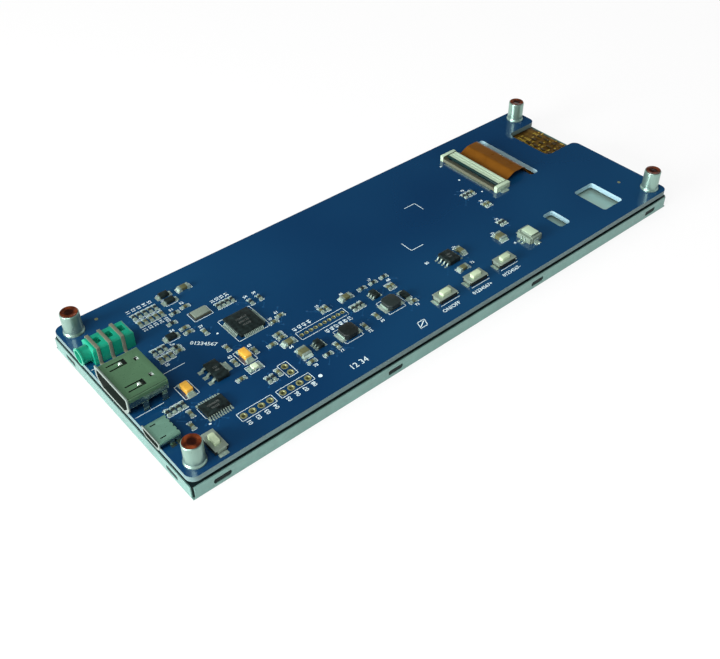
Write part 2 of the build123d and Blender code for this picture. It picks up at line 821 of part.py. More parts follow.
# The moulded jack: a round nose at the board's edge and a body with windows over the contacts
def jack_body_shape():
    length, width, height = jack_body
    axis_z = height / 2
    body = plate(length, width, 0, height, length / 2)
    body = chamfer(body.faces().sort_by(Axis.Z)[-1].edges(), jack_chamfer)
    nose = Pos(-jack_nose_length / 2, 0, axis_z) * Rot(0, 90, 0) * Cylinder(
        jack_nose_radius, jack_nose_length)
    rim_length, rim_step = jack_nose_rim
    rim = Pos(rim_length / 2 - jack_nose_length, 0, axis_z) * Rot(0, 90, 0) * Cylinder(
        jack_nose_radius + rim_step, rim_length)
    bore = Pos(jack_bore_length / 2 - jack_nose_length, 0, axis_z) * Rot(0, 90, 0) * Cylinder(
        jack_bore_radius, jack_bore_length)
    body = body + nose + rim
    for place in jack_band_places:
        x = place + jack_band[0] + jack_window[0] / 2 + jack_band[1]
        body -= plate(jack_window[0], jack_window[1], axis_z, height, x)
    return body - bore


# Sprung contact straps: each wraps over the body and down to soldered feet
def jack_contacts():
    length, width, height = jack_body
    band, thickness = jack_band
    straps = []
    for place in jack_band_places:
        top = plate(band, width + 2 * thickness, height, height + thickness)
        for side in (-1, 1):
            wall_y = side * (width + thickness) / 2
            foot_y = side * (width + jack_foot) / 2
            top += plate(band, thickness, 0, height, y=wall_y)
            top += plate(band, jack_foot, 0, thickness, y=foot_y)
        straps.append(Pos(place + band / 2, 0, 0) * top)
    return straps


def fpc_spot():
    return Pos(fpc_x, flex_y, z_top)


# The flex connector's housing: a frame with a rear rim, two ears and a front sill
def fpc_housing():
    half = fpc_length / 2
    inner = half - fpc_ear
    body = block(0, fpc_floor[0], -inner, inner, fpc_arm, fpc_floor[1])
    body += block(0, fpc_rim[0], -inner, inner, fpc_arm, fpc_rim[1])
    body += block(fpc_depth - fpc_sill, fpc_depth, -inner, inner, fpc_arm, fpc_entry - latch_lift)
    for side in (-1, 1):
        body += plate(fpc_depth, fpc_ear, 0, fpc_height, fpc_depth / 2, side * (half - fpc_ear / 2))
    pin_hole = Rot(90, 0, 0) * Cylinder(latch_pin_radius + latch_pin_gap,
                                        2 * (inner + latch_pin_length - latch_end_gap + latch_pin_gap))
    return body - Pos(*latch_pivot()) * pin_hole


# The latch turns about a pin line near the rear rim
def latch_pivot():
    return (latch_pivot_inset, 0, fpc_height - latch_thickness / 2)


# The flip latch: a bar over the flex with a round heel on the pin line
def fpc_latch():
    pivot_x, _, pivot_z = latch_pivot()
    length = fpc_length - 2 * fpc_ear - 2 * latch_end_gap
    half = latch_thickness / 2
    bar = block(pivot_x, fpc_depth - latch_free_inset, -length / 2, length / 2,
                pivot_z - half, pivot_z + half)
    bar += Pos(pivot_x, 0, pivot_z) * Rot(90, 0, 0) * Cylinder(half, length)
    bar += Pos(pivot_x, 0, pivot_z) * Rot(90, 0, 0) * Cylinder(
        latch_pin_radius, length + 2 * latch_pin_length)
    groove_width, groove_depth = latch_groove
    free_run = fpc_depth - latch_free_inset - pivot_x
    for share in latch_groove_shares:
        x = pivot_x + share * free_run
        bar -= block(x, x + groove_width, -length / 2, length / 2, pivot_z + half - groove_depth,
                     pivot_z + half)
    return bar


# Forty stamped contacts under the flex, and the two metal nails that hold the housing's ends
def fpc_terminals():
    t = contact_sheet
    nub_z = fpc_entry - t / 3
    nub_x = fpc_depth - fpc_sill - 3 * t
    points = [
        (-fpc_tail, 0),
        (nub_x, 0),
        (nub_x, t),
        (nub_x - 2 * t, nub_z),
        (nub_x - 4 * t, nub_z),
        (nub_x - 6 * t, t),
        (-fpc_tail, t),
    ]
    contact = side_profile(points, fpc_contact_width)
    middle = (fpc_contact_count - 1) / 2
    pieces = [Pos(0, (i - middle) * fpc_pitch, 0) * contact for i in range(fpc_contact_count)]
    for side in (-1, 1):
        wall_y = side * (fpc_length + terminal_sheet) / 2
        foot_y = side * (fpc_length + fpc_ear) / 2
        nail = plate(fpc_depth / 2, terminal_sheet, 0, fpc_height / 2, fpc_depth / 2, wall_y)
        nail += plate(fpc_depth / 2, fpc_ear, 0, t, fpc_depth / 2, foot_y)
        pieces.append(nail)
    return pieces


# Places of the four buttons: three along the edge and one beside the corner
def switch_spots():
    spots = []
    for i in (-1, 0, 1):
        spots.append(row_spot(button_row_x + i * button_pitch, button_inset))
    spots.append(near_spot(side_button_from_end, side_button_inset, 90))
    return spots


def switch_base():
    length, width, height = switch_body
    base = standing(switch_body)
    pocket_length, pocket_width, pocket_depth = switch_pocket
    return base - plate(pocket_length, pocket_width, height - pocket_depth, height)


# The stamped cover holds the plunger's flange down
def switch_cover_shape():
    length, width, height = switch_body
    cover = plate(length + 2 * switch_cover, width, height, height + switch_cover)
    window_length_here = switch_plunger[0] + 2 * switch_plunger_gap
    window_width_here = switch_plunger[1] + 2 * switch_plunger_gap
    cover -= plate(window_length_here, window_width_here, height, height + switch_cover)
    drop, skirt_width = switch_skirt
    for side in (-1, 1):
        x = side * (length + switch_cover) / 2
        cover += plate(switch_cover, skirt_width, height - drop, height, x)
    return cover


def switch_plunger_shape():
    height = switch_body[2]
    flange_top = height - switch_flange_gap
    flange = plate(switch_flange[0], switch_flange[1], flange_top - switch_flange[2], flange_top)
    stem = rounded_plate(switch_plunger, switch_plunger[1] / 4, flange_top, switch_height)
    return flange + stem


# A shallow snap dome on the floor of the pocket
def switch_dome_shape():
    radius, crown, rise = switch_dome
    floor = switch_body[2] - switch_pocket[2]
    points = [(0, floor), (radius, floor), (crown, floor + rise), (0, floor + rise)]
    return revolve(Plane.XZ * make_face(Polyline(*points, close=True)), axis=Axis.Z)


def switch_terminals():
    reach, width, thickness = switch_leg
    start = switch_body[0] / 2
    legs = []
    for side in (-1, 1):
        x = side * (start + reach / 2)
        legs.append(plate(reach, width, 0, thickness, x))
    return legs


def wafer_spot():
    return row_spot(wafer_x, wafer_from_edge)


# Two pins and two holding nails of the wafer connector
def wafer_pins():
    length, width, height = wafer_size
    half = wafer_pin / 2
    rear = -length / 2
    inside = length / 2 - wafer_wall - wafer_pin
    points = [
        (inside, wafer_pin_z - half),
        (inside, wafer_pin_z + half),
        (rear - wafer_pin, wafer_pin_z + half),
        (rear - wafer_pin, wafer_pin),
        (rear - 3 * wafer_pin, wafer_pin),
        (rear - 3 * wafer_pin, 0),
        (rear, 0),
        (rear, wafer_pin_z - half),
    ]
    pin = side_profile(points, wafer_pin)
    pieces = [Pos(0, side * wafer_pitch / 2, 0) * pin for side in (-1, 1)]
    nail_length, nail_sheet = wafer_nail
    for side in (-1, 1):
        wall = plate(nail_length, nail_sheet, 0, height / 2, 0, side * (width + nail_sheet) / 2)
        foot = plate(nail_length, nail_length / 2, 0, nail_sheet, 0, side * (width + nail_length / 2) / 2)
        pieces.append(wall + foot)
    return pieces


def wafer_housing():
    length, width, height = wafer_size
    body = standing(wafer_size)
    body -= block(wafer_wall - length / 2, length / 2, wafer_wall - width / 2, width / 2 - wafer_wall,
                  wafer_wall, height - wafer_wall)
    return cut_pieces(body, wafer_pins()[:2])


def cut_pieces(body, pieces):
    for piece in pieces:
        body -= piece
    return body


# One bent lead: out of the body's side, down to the board and flat along it
def gull_lead(height, reach, width):
    t = lead_sheet
    knee = reach * lead_knee_share
    heel = reach * lead_heel_share
    points = [
        (0, height + t),
        (knee, height + t),
        (heel + t, t),
        (reach, t),
        (reach, 0),
        (heel, 0),
        (knee - t / 2, height),
        (0, height),
    ]
    return side_profile(points, width)


# A moulded chip body that stands just clear of the board
def chip_body(size):
    return standing((size[0], size[1], size[2] - lead_clear), lead_clear)


# A row of leads along one side of a body; turn 0 is the side towards +X
def lead_row(size, turn, count, lead_sizes):
    half = size[0] / 2 if turn in (0, 180) else size[1] / 2
    pitch, reach, width = lead_sizes
    lead = gull_lead(size[2] / 2, reach, width)
    row = []
    for i in range(count):
        y = (i - (count - 1) / 2) * pitch
        row.append(Rot(0, 0, turn) * Pos(half, y, 0) * lead)
    return row


# The chips with leads: name of the body, place, size and rows of leads
def leaded_chips():
    quad_short_lead = (quad_lead[0], quad_short_reach, quad_lead[2])
    quad = [(turn, quad_side_count, quad_lead) for turn in (0, 180)]
    quad += [(turn, quad_side_count, quad_short_lead) for turn in (90, 270)]
    twenty = [(turn, twenty_side_count, twenty_lead) for turn in (90, 270)]
    eight = [(turn, eight_side_count, eight_lead) for turn in (0, 180)]
    six = [(turn, six_side_count, six_lead) for turn in (0, 180)]
    tab = [(180, regulator_lead_count, regulator_lead), (0, 1, regulator_tab)]
    chips = [
        ("main_chip", near_spot(*main_chip_place), main_chip_size, quad),
        ("logic_chips", near_spot(*driver_ic_place), driver_ic_size, twenty),
        ("logic_chips", row_spot(*power_ic_place), power_ic_size, eight),
        ("regulators", near_spot(*regulator_place), regulator_size, tab),
    ]
    return chips + [("regulators", near_spot(*place), tiny_ic_size, six) for place in tiny_ic_places]


# One chip part: a body between two metal end caps
def chip_part(size):
    length, width, height = size
    cap = length * chip_cap_share
    body = plate(length - 2 * cap, width, 0, height)
    caps = [plate(cap, width, 0, height, side * (length - cap) / 2) for side in (-1, 1)]
    return body, caps


# All the chip parts, sorted into resistor bodies, capacitor bodies and end caps
def chip_parts():
    resistors = [near_spot(*place) for place in resistors_along]
    resistors += [near_spot(*place, 90) for place in resistors_across]
    resistors += [row_spot(*place, 90) for place in row_resistors]
    resistors += [far_spot(*place, 90) for place in far_resistors]
    capacitors = [near_spot(*place) for place in capacitors_along]
    capacitors += [near_spot(*place, 90) for place in capacitors_across]
    capacitors += [far_spot(*place, 90) for place in far_capacitors]
    large = [near_spot(*place) for place in large_capacitors]
    large += [row_spot(*row_large_capacitor), row_spot(*row_turned_capacitor, 90)]
    wide = [near_spot(*wide_capacitor, 90), row_spot(*row_wide_capacitor, 90)]
    groups = [
        ("resistor", small_chip, resistors),
        ("capacitor", small_chip, capacitors),
        ("capacitor", large_chip, large),
        ("capacitor", wide_chip, wide),
    ]
    bodies = {"resistor": [], "capacitor": []}
    end_caps = []
    for kind, size, places in groups:
        body, caps = chip_part(size)
        for place in places:
            bodies[kind].append(place * body)
            end_caps.extend(place * cap for cap in caps)
    return bodies["resistor"], bodies["capacitor"], end_caps


# A moulded body with a flat metal strap at each end
def strapped_part(size, strap_width):
    length, width, height = size
    reach = terminal_sheet
    straps = []
    for side in (-1, 1):
        x = side * (length + reach) / 2
        strap = plate(reach, strap_width, 0, height / 2, x)
        strap += plate(2 * reach, strap_width, 0, reach / 2, side * (length / 2 + 2 * reach))
        straps.append(strap)
    return standing(size), straps


def save_strapped(body_name, strap_name, size, strap_width, places):
    body, straps = strapped_part(size, strap_width)
    save(body_name, *[place * body for place in places])
    save(strap_name, *[place * strap for place in places for strap in straps])


# A power inductor's body has cut corners
def inductor_body():
    body = standing(inductor_size)
    return chamfer(body.edges().filter_by(Axis.Z), inductor_cut)


def save_display():
    save("front_bezel", front_bezel())
    save("mould_frame", mould_frame())
    save("rear_plate", rear_plate())
    for name, shape in display_layers():
        save(name, shape)
    save("backlight_lamps", *backlight_lamps())
    save("display_driver_chip", display_driver_chip())
    save("panel_flex", panel_flex())
    save("flex_parts", *flex_parts())
    save("foam_tapes", *foam_tapes())


def save_board():
    save("driver_board", driver_board())
    eyelets = {header: plated_hole(header) for header in (wide_header, fine_header)}
    save("header_pads", *[place * eyelets[header] for header, place in header_places()])
    save("spacers", *[spot * spacer() for spot in spacer_spots()])
    save("spacer_films", *[spot * spacer_film() for spot in spacer_spots()])


def save_connectors():
    save("hdmi_shell", hdmi_spot() * hdmi_shell())
    save("hdmi_insulator", hdmi_spot() * hdmi_insulator())
    save("hdmi_contacts", *[hdmi_spot() * strip for strip in hdmi_contacts()])
    save("usb_shell", usb_spot() * usb_shell())
    save("usb_insulator", usb_spot() * usb_insulator())
    save("usb_contacts", *[usb_spot() * strip for strip in usb_contacts()])
    save("audio_jack_body", jack_spot() * jack_body_shape())
    save("audio_jack_contacts", *[jack_spot() * strap for strap in jack_contacts()])
    save("fpc_housing", fpc_spot() * fpc_housing())
    save("fpc_latch", fpc_spot() * fpc_latch())
    save("fpc_terminals", *[fpc_spot() * piece for piece in fpc_terminals()])
    save("wafer_housing", wafer_spot() * wafer_housing())
    save("wafer_pins", *[wafer_spot() * pin for pin in wafer_pins()])


def save_switches():
    spots = switch_spots()
    save("switch_bases", *[spot * switch_base() for spot in spots])
    save("switch_covers", *[spot * switch_cover_shape() for spot in spots])
    save("switch_domes", *[spot * switch_dome_shape() for spot in spots])
    save("switch_terminals", *[spot * leg for spot in spots for leg in switch_terminals()])
    for number, spot in enumerate(spots, start=1):
        save(f"switch_plunger_{number}", spot * switch_plunger_shape())


def save_chips():
    bodies = {}
    leads = {}
    for name, place, size, rows in leaded_chips():
        bodies.setdefault(name, []).append(place * chip_body(size))
        for row in rows:
            leads.setdefault(name, []).extend(place * lead for lead in lead_row(size, *row))
    for name in bodies:
        save(name, *bodies[name])
        save(f"{name}_leads", *leads[name])
    resistors, capacitors, end_caps = chip_parts()
    lamp_place = near_spot(*led_lamp_place)
    lamp, lamp_caps = chip_part(led_lamp_size)
    lens = plate(led_lens[0], led_lamp_size[1], led_lamp_size[2], led_lamp_size[2] + led_lens[1])
    save("power_lamp", lamp_place * (lamp + lens))
    save("chip_resistors", *resistors)
    save("chip_capacitors", *capacitors)
    save("chip_end_caps", *end_caps, *[lamp_place * cap for cap in lamp_caps])
    save_strapped("tantalum_bodies", "tantalum_straps", tantalum_size, tantalum_strap,
                  [near_spot(*place, 90) for place in tantalum_places])
    save_strapped("diode_bodies", "diode_straps", diode_size, diode_strap,
                  [near_spot(*place) for place in diodes_along] + [near_spot(*diode_across, 90)])
    spots = [near_spot(*place) for place in inductor_places]
    _, straps = strapped_part(inductor_size, inductor_strap)
    save("inductor_bodies", *[spot * inductor_body() for spot in spots])
    save("inductor_straps", *[spot * strap for spot in spots for strap in straps])
    save("crystal_base", near_spot(*crystal_place) * standing(crystal_size))
    save("crystal_lid", near_spot(*crystal_place) * standing(crystal_lid, crystal_size[2]))


os.makedirs("parts", exist_ok=True)
save_display()
save_board()
save_connectors()
save_switches()
save_chips()
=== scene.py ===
import json
import math
import random

import bmesh
import bpy
from mathutils import Euler, Matrix, Vector


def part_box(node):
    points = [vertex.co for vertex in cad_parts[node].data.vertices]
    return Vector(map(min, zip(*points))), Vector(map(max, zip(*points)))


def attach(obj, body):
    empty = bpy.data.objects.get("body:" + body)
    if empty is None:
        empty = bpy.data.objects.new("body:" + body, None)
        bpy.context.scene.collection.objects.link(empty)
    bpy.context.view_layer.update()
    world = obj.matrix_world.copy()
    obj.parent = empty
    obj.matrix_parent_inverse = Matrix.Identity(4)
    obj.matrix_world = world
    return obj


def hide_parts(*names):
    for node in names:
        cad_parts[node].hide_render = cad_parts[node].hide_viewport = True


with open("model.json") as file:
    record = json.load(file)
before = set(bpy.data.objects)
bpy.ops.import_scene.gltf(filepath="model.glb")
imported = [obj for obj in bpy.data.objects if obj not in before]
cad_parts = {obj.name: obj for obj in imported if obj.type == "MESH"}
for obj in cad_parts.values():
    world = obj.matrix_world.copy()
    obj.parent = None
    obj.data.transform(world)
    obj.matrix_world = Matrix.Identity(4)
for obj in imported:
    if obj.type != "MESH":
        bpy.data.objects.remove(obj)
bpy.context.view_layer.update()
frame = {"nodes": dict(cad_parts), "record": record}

mm = 0.001
weldReach = 1e-7
boardLow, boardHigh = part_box("driver_board")
boardTop = boardHigh.z
bodyRows = frame["record"]["behaviour"]["bodies"]
bodyOf = {node: body for body, members in bodyRows.items() for node in members}


# One socket of a shader tree, so that shader maths reads as arithmetic
class Wire:
    def __init__(self, tree, socket=None):
        self.tree = tree
        self.socket = socket

    # Any node: its type, its settings, then the values or links of its sockets
    def make(self, kind, settings=None, values=None, out=0):
        node = self.tree.nodes.new(kind)
        for name, value in (settings or {}).items():
            setattr(node, name, value)
        for name, value in (values or {}).items():
            if isinstance(value, Wire):
                self.tree.links.new(value.socket, node.inputs[name])
            else:
                node.inputs[name].default_value = value
        return Wire(self.tree, node.outputs[out])

    def output(self, name):
        return Wire(self.tree, self.socket.node.outputs[name])

    def maths(self, operation, first, second):
        return self.make("ShaderNodeMath", {"operation": operation}, {0: first, 1: second})

    def __add__(self, other):
        return self.maths("ADD", self, other)

    def __radd__(self, other):
        return self.maths("ADD", other, self)

    def __sub__(self, other):
        return self.maths("SUBTRACT", self, other)

    def __rsub__(self, other):
        return self.maths("SUBTRACT", other, self)

    def __mul__(self, other):
        return self.maths("MULTIPLY", self, other)

    def __rmul__(self, other):
        return self.maths("MULTIPLY", other, self)

    def __gt__(self, other):
        return self.maths("GREATER_THAN", self, other)

    def __lt__(self, other):
        return self.maths("LESS_THAN", self, other)


# A new material with its shader, and the wire that its nodes start from
def newFinish(name, values):
    material = bpy.data.materials.new(name)
    material.use_nodes = True
    shader = material.node_tree.nodes["Principled BSDF"]
    for socket, value in values.items():
        shader.inputs[socket].default_value = (*value, 1.0) if socket == "Base Color" else value
    return material, shader, Wire(material.node_tree)


def feed(shader, socket, wire):
    wire.tree.links.new(wire.socket, shader.inputs[socket])


def noise(start, scale, detail=3.0, stretch=(1.0, 1.0, 1.0)):
    place = start.make("ShaderNodeTexCoord", out="Object")
    place = place.make("ShaderNodeMapping", None, {"Vector": place, "Scale": stretch})
    return place.make("ShaderNodeTexNoise", None, {"Vector": place, "Scale": scale, "Detail": detail})


def mixColor(factor, first, second):
    first = first if isinstance(first, Wire) else (*first, 1.0)
    second = second if isinstance(second, Wire) else (*second, 1.0)
    return factor.make("ShaderNodeMix", {"data_type": "RGBA"}, {0: factor, 6: first, 7: second}, out=2)


def bump(height, strength, distance):
    values = {"Strength": strength, "Distance": distance, "Height": height}
    return height.make("ShaderNodeBump", None, values)


# A wire stretched so that low and high become 0 and 1, and clipped there
def stretched(wire, low, high, settings=None):
    return wire.make("ShaderNodeMapRange", settings, {"Value": wire, "From Min": low, "From Max": high})


# The coordinates of a point in the object's own frame; the other axes come from output()
def objectPoint(start, axis="X"):
    spot = start.make("ShaderNodeTexCoord", out="Object")
    return spot.make("ShaderNodeSeparateXYZ", None, {0: spot}, out=axis)


# The separate solids of a node, each as its lowest and highest corner
def solidsOf(node):
    bm = bmesh.new()
    bm.from_mesh(frame["nodes"][node].data)
    bmesh.ops.remove_doubles(bm, verts=bm.verts, dist=weldReach)
    seen = set()
    found = []
    for first in bm.verts:
        if first in seen:
            continue
        group = [first]
        seen.add(first)
        for vert in group:
            for edge in vert.link_edges:
                other = edge.other_vert(vert)
                if other not in seen:
                    seen.add(other)
                    group.append(other)
        low = Vector([min(v.co[axis] for v in group) for axis in range(3)])
        high = Vector([max(v.co[axis] for v in group) for axis in range(3)])
        found.append((low, high))
    bm.free()
    return found


def middle(box):
    return (box[0] + box[1]) / 2


# What a plain finish has where its own row says nothing else
usualLook = {
    "metal": 0.0, "coat": 0.0, "coatRough": 0.1, "ior": 1.45, "stretch": (1.0, 1.0, 1.0),
    "broad": 90.0, "fine": 2500.0, "broadShare": 0.6, "contrast": (0.3, 0.7), "spread": 0.2,
    "uneven": 0.15, "relief": 0.15, "depth": 0.00005,
}


# A finish with mottled colour, uneven gloss and a fine relief, as most of the module's surfaces have
def mottled(name, ownLook):
    look = dict(usualLook, **ownLook)
    material, shader, start = newFinish(name, {
        "Base Color": look["color"], "Roughness": look["rough"], "Metallic": look["metal"],
        "Coat Weight": look["coat"], "Coat Roughness": look["coatRough"], "IOR": look["ior"],
    })
    broad = noise(start, look["broad"], 2.0, look["stretch"])
    fine = noise(start, look["fine"], 3.0, look["stretch"])
    dark = tuple(channel * (1 - look["spread"]) for channel in look["color"])
    pale = tuple(min(channel * (1 + look["spread"]), 1.0) for channel in look["color"])
    share = stretched(broad * look["broadShare"] + fine * (1 - look["broadShare"]), *look["contrast"])
    feed(shader, "Base Color", mixColor(share, dark, pale))
    feed(shader, "Roughness", fine * look["uneven"] + (look["rough"] - look["uneven"] / 2))
    feed(shader, "Normal", bump(fine, look["relief"], look["depth"]))
    return material


# The colours of the module's plain materials, as the finish writes them
plainLooks = {
    "bezelSteel": {"color": (0.18, 0.33, 0.295), "rough": 0.40, "metal": 0.55, "spread": 0.14,
                   "broad": 60.0, "fine": 700.0, "stretch": (1.0, 1.0, 0.12), "relief": 0.10},
    "framePlastic": {"color": (0.004, 0.013, 0.013), "rough": 0.5, "ior": 1.2},
    "panelGlass": {"color": (0.01, 0.012, 0.014), "rough": 0.08, "spread": 0.1, "relief": 0.01},
    "polariser": {"color": (0.012, 0.012, 0.014), "rough": 0.12, "spread": 0.1, "relief": 0.01,
                  "coat": 0.6},
    "opticFilm": {"color": (0.75, 0.78, 0.79), "rough": 0.25, "relief": 0.02, "spread": 0.05},
    "clearAcrylic": {"color": (0.72, 0.77, 0.77), "rough": 0.1, "relief": 0.02, "spread": 0.05},
    "bareSilicon": {"color": (0.08, 0.08, 0.09), "rough": 0.15, "relief": 0.02},
    "tapeFoam": {"color": (0.004, 0.010, 0.011), "rough": 0.8, "relief": 0.6, "ior": 1.2},
    "boardTrack": {"color": (0.006, 0.058, 0.150), "rough": 0.2, "ior": 1.5, "relief": 0.05},
    "laminate": {"color": (0.10, 0.17, 0.17), "rough": 0.5, "spread": 0.3, "fine": 4000.0,
                 "stretch": (0.12, 0.12, 3.0), "relief": 0.4},
    "cutEdge": {"color": (0.34, 0.53, 0.60), "rough": 0.5, "spread": 0.15, "fine": 4000.0,
                "stretch": (0.12, 0.12, 3.0), "relief": 0.3},
    "silkInk": {"color": (0.62, 0.76, 0.78), "rough": 0.6, "spread": 0.12, "relief": 0.2},
    "laserMark": {"color": (0.075, 0.085, 0.08), "rough": 0.7, "spread": 0.4},
    "goldPad": {"color": (0.27, 0.29, 0.14), "rough": 0.4, "metal": 0.45, "spread": 0.3, "broad": 700.0},
    "flexGold": {"color": (0.68, 0.50, 0.08), "rough": 0.32, "metal": 0.5, "spread": 0.35,
                 "broad": 900.0},
    "solder": {"color": (0.44, 0.58, 0.50), "rough": 0.22, "metal": 0.6, "spread": 0.3, "broad": 900.0},
    "spacerTin": {"color": (0.25, 0.385, 0.33), "rough": 0.3, "metal": 0.75, "spread": 0.12,
                  "fine": 900.0, "stretch": (1.0, 1.0, 0.1), "relief": 0.015},
    "hdmiTin": {"color": (0.105, 0.225, 0.122), "rough": 0.3, "metal": 0.4, "spread": 0.06,
                "relief": 0.05},
    "usbTin": {"color": (0.185, 0.37, 0.28), "rough": 0.3, "metal": 0.4, "spread": 0.08,
               "relief": 0.05},
    "wallTin": {"color": (0.26, 0.36, 0.29), "rough": 0.22, "metal": 0.95, "relief": 0.02},
    # Painted highlight for the shells' turned-up rims and catches
    "paintedGlintTin": {"color": (0.72, 0.84, 0.78), "rough": 0.2, "metal": 0.6, "spread": 0.05, "relief": 0.05},
    # The shells' tin in a tone tuned to the left lamp's light on the mouth lip: painted light
    "lipTin": {"color": (0.19, 0.25, 0.22), "rough": 0.3, "metal": 0.4, "spread": 0.1, "relief": 0.05},
    # The insulators' own black, also laid inside the shells as painted shade
    "darkTin": {"color": (0.010, 0.018, 0.014), "rough": 0.55, "metal": 0.2, "relief": 0.1},
    "contactGold": {"color": (0.62, 0.55, 0.30), "rough": 0.25, "metal": 1.0},
    "jackMint": {"color": (0.004, 0.265, 0.160), "rough": 0.34, "spread": 0.14, "relief": 0.10,
                 "coat": 0.25},
    "jackSpring": {"color": (0.26, 0.27, 0.20), "rough": 0.34, "metal": 0.5},
    "blackPlastic": {"color": (0.008, 0.012, 0.012), "rough": 0.5, "relief": 0.3, "ior": 1.3},
    "filmSkirt": {"color": (0.035, 0.012, 0.006), "rough": 0.25, "relief": 0.2, "spread": 0.5},
    "creamPlastic": {"color": (0.43, 0.57, 0.41), "rough": 0.42, "spread": 0.08, "relief": 0.1},
    "waferShade": {"color": (0.17, 0.23, 0.18), "rough": 0.4, "spread": 0.15, "relief": 0.1},
    "fpcBase": {"color": (0.115, 0.125, 0.085), "rough": 0.45, "spread": 0.12, "relief": 0.1},
    "latchDark": {"color": (0.003, 0.022, 0.022), "rough": 0.4, "relief": 0.1, "ior": 1.3},
    "buttonCream": {"color": (0.48, 0.60, 0.40), "rough": 0.3, "spread": 0.06, "relief": 0.1,
                    "coat": 0.3},
    "coverSteel": {"color": (0.34, 0.43, 0.35), "rough": 0.3, "metal": 0.5, "spread": 0.14,
                   "relief": 0.05},
    "chipEpoxy": {"color": (0.009, 0.0165, 0.016), "rough": 0.45, "spread": 0.9, "broad": 900.0,
                  "fine": 4200.0, "relief": 0.6, "ior": 1.3},
    "tantalumYellow": {"color": (0.70, 0.38, 0.05), "rough": 0.2, "coat": 0.5},
    "ferrite": {"color": (0.012, 0.019, 0.018), "rough": 0.42, "spread": 0.5, "fine": 1600.0,
                "relief": 0.9},
    "resistorBlack": {"color": (0.018, 0.026, 0.026), "rough": 0.3, "spread": 0.3, "coat": 0.3},
    "capacitorTan": {"color": (0.105, 0.115, 0.055), "rough": 0.4, "spread": 0.3, "relief": 0.2},
    "flexPart": {"color": (0.045, 0.030, 0.008), "rough": 0.35, "spread": 0.4},
    "ceramicBase": {"color": (0.05, 0.055, 0.04), "rough": 0.5},
    "lampLens": {"color": (0.58, 0.70, 0.50), "rough": 0.2, "spread": 0.05, "coat": 0.5},
}
finishes = {name: mottled(name, look) for name, look in plainLooks.items()}


# The board's blue mask: glossy, a little uneven, with the faint grain of the glass cloth under it
def makeMask():
    look = {"deep": (0.0020, 0.032, 0.096), "pale": (0.0045, 0.049, 0.126), "contrast": (0.35, 0.65),
            "cloud": 14.0, "grain": 1800.0, "weave": 230.0, "weaveHeight": 0.3, "gloss": 0.05,
            "uneven": 0.08, "relief": 0.05, "depth": 0.00002}
    material, shader, start = newFinish("boardMask", {"Roughness": 0.1, "IOR": 1.85})
    cloud = noise(start, look["cloud"], 2.0)
    fine = noise(start, look["grain"], 2.0)
    spot = start.make("ShaderNodeTexCoord", out="Object")
    cloth = fine
    for direction in ("X", "Y"):
        threads = spot.make("ShaderNodeTexWave", {"bands_direction": direction},
                            {"Vector": spot, "Scale": look["weave"]})
        cloth = cloth + threads * look["weaveHeight"]
    share = stretched(cloud, *look["contrast"])
    feed(shader, "Base Color", mixColor(share, look["deep"], look["pale"]))
    feed(shader, "Roughness", fine * look["uneven"] + look["gloss"])
    feed(shader, "Normal", bump(cloth, look["relief"], look["depth"]))
    return material


# The flexible circuit: copper lines show through the amber film, which is darker on the module's back
def makeFlexFilm():
    look = {"film": (0.080, 0.028, 0.003), "copper": (0.22, 0.085, 0.006), "fold": 0.068,
            "dark": (0.055, 0.028, 0.004), "gold": (0.16, 0.090, 0.010), "contrast": (0.4, 0.65),
            "pitch": 0.0005, "gap": 0.3, "line": 0.8, "haze": 0.3, "cloud": 160.0, "flecks": 500.0,
            "gloss": 0.2, "uneven": 0.2, "sag": 0.4, "relief": 0.15, "depth": 0.00003}
    material, shader, start = newFinish("flexFilm", {
        "Roughness": 0.3, "IOR": 1.3, "Coat Weight": 0.08, "Coat Roughness": 0.1})
    across = objectPoint(start, "Y")
    phase = start.maths("FRACT", across * (1 / look["pitch"]), 0.0)
    line = (phase > look["gap"]) * look["line"]
    cloud = noise(start, look["cloud"], 3.0)
    lit = mixColor(line * cloud + cloud * look["haze"], look["film"], look["copper"])
    share = stretched(noise(start, look["flecks"], 2.0), *look["contrast"])
    backed = mixColor(share, look["dark"], look["gold"])
    feed(shader, "Base Color", mixColor(across.output("X") > look["fold"], lit, backed))
    feed(shader, "Roughness", cloud * look["uneven"] + look["gloss"])
    feed(shader, "Normal", bump(line + cloud * look["sag"], look["relief"], look["depth"]))
    return material


# The rear plate: brushed sheet metal, with a band of painted shade round its rim where the gap under the
# board lies dark
def makeBackSteel():
    look = {"steel": (0.32, 0.52, 0.46), "pale": (0.42, 0.61, 0.55), "band": (0.004, 0.012, 0.013),
            "width": 0.0022, "brush": 500.0, "stretch": (1.0, 0.1, 1.0), "metal": 0.3, "gloss": 0.32,
            "uneven": 0.15, "relief": 0.1, "depth": 0.00003}
    low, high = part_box("rear_plate")
    material, shader, start = newFinish("backSteel", {"Roughness": 0.4, "IOR": 1.45})
    along = objectPoint(start)
    # Within this width of the rim the plate is painted near black and not metallic: painted shade of the
    # gap under the board
    inner = start.maths("ABSOLUTE", along, 0.0) < min(-low.x, high.x) - look["width"]
    inner = inner * (start.maths("ABSOLUTE", along.output("Y"), 0.0) < high.y - look["width"])
    cloud = noise(start, look["brush"], 3.0, look["stretch"])
    bare = mixColor(cloud, look["steel"], look["pale"])
    feed(shader, "Base Color", mixColor(inner, look["band"], bare))
    feed(shader, "Metallic", inner * look["metal"])
    feed(shader, "Roughness", cloud * look["uneven"] + look["gloss"])
    feed(shader, "Normal", bump(cloud, look["relief"], look["depth"]))
    return material
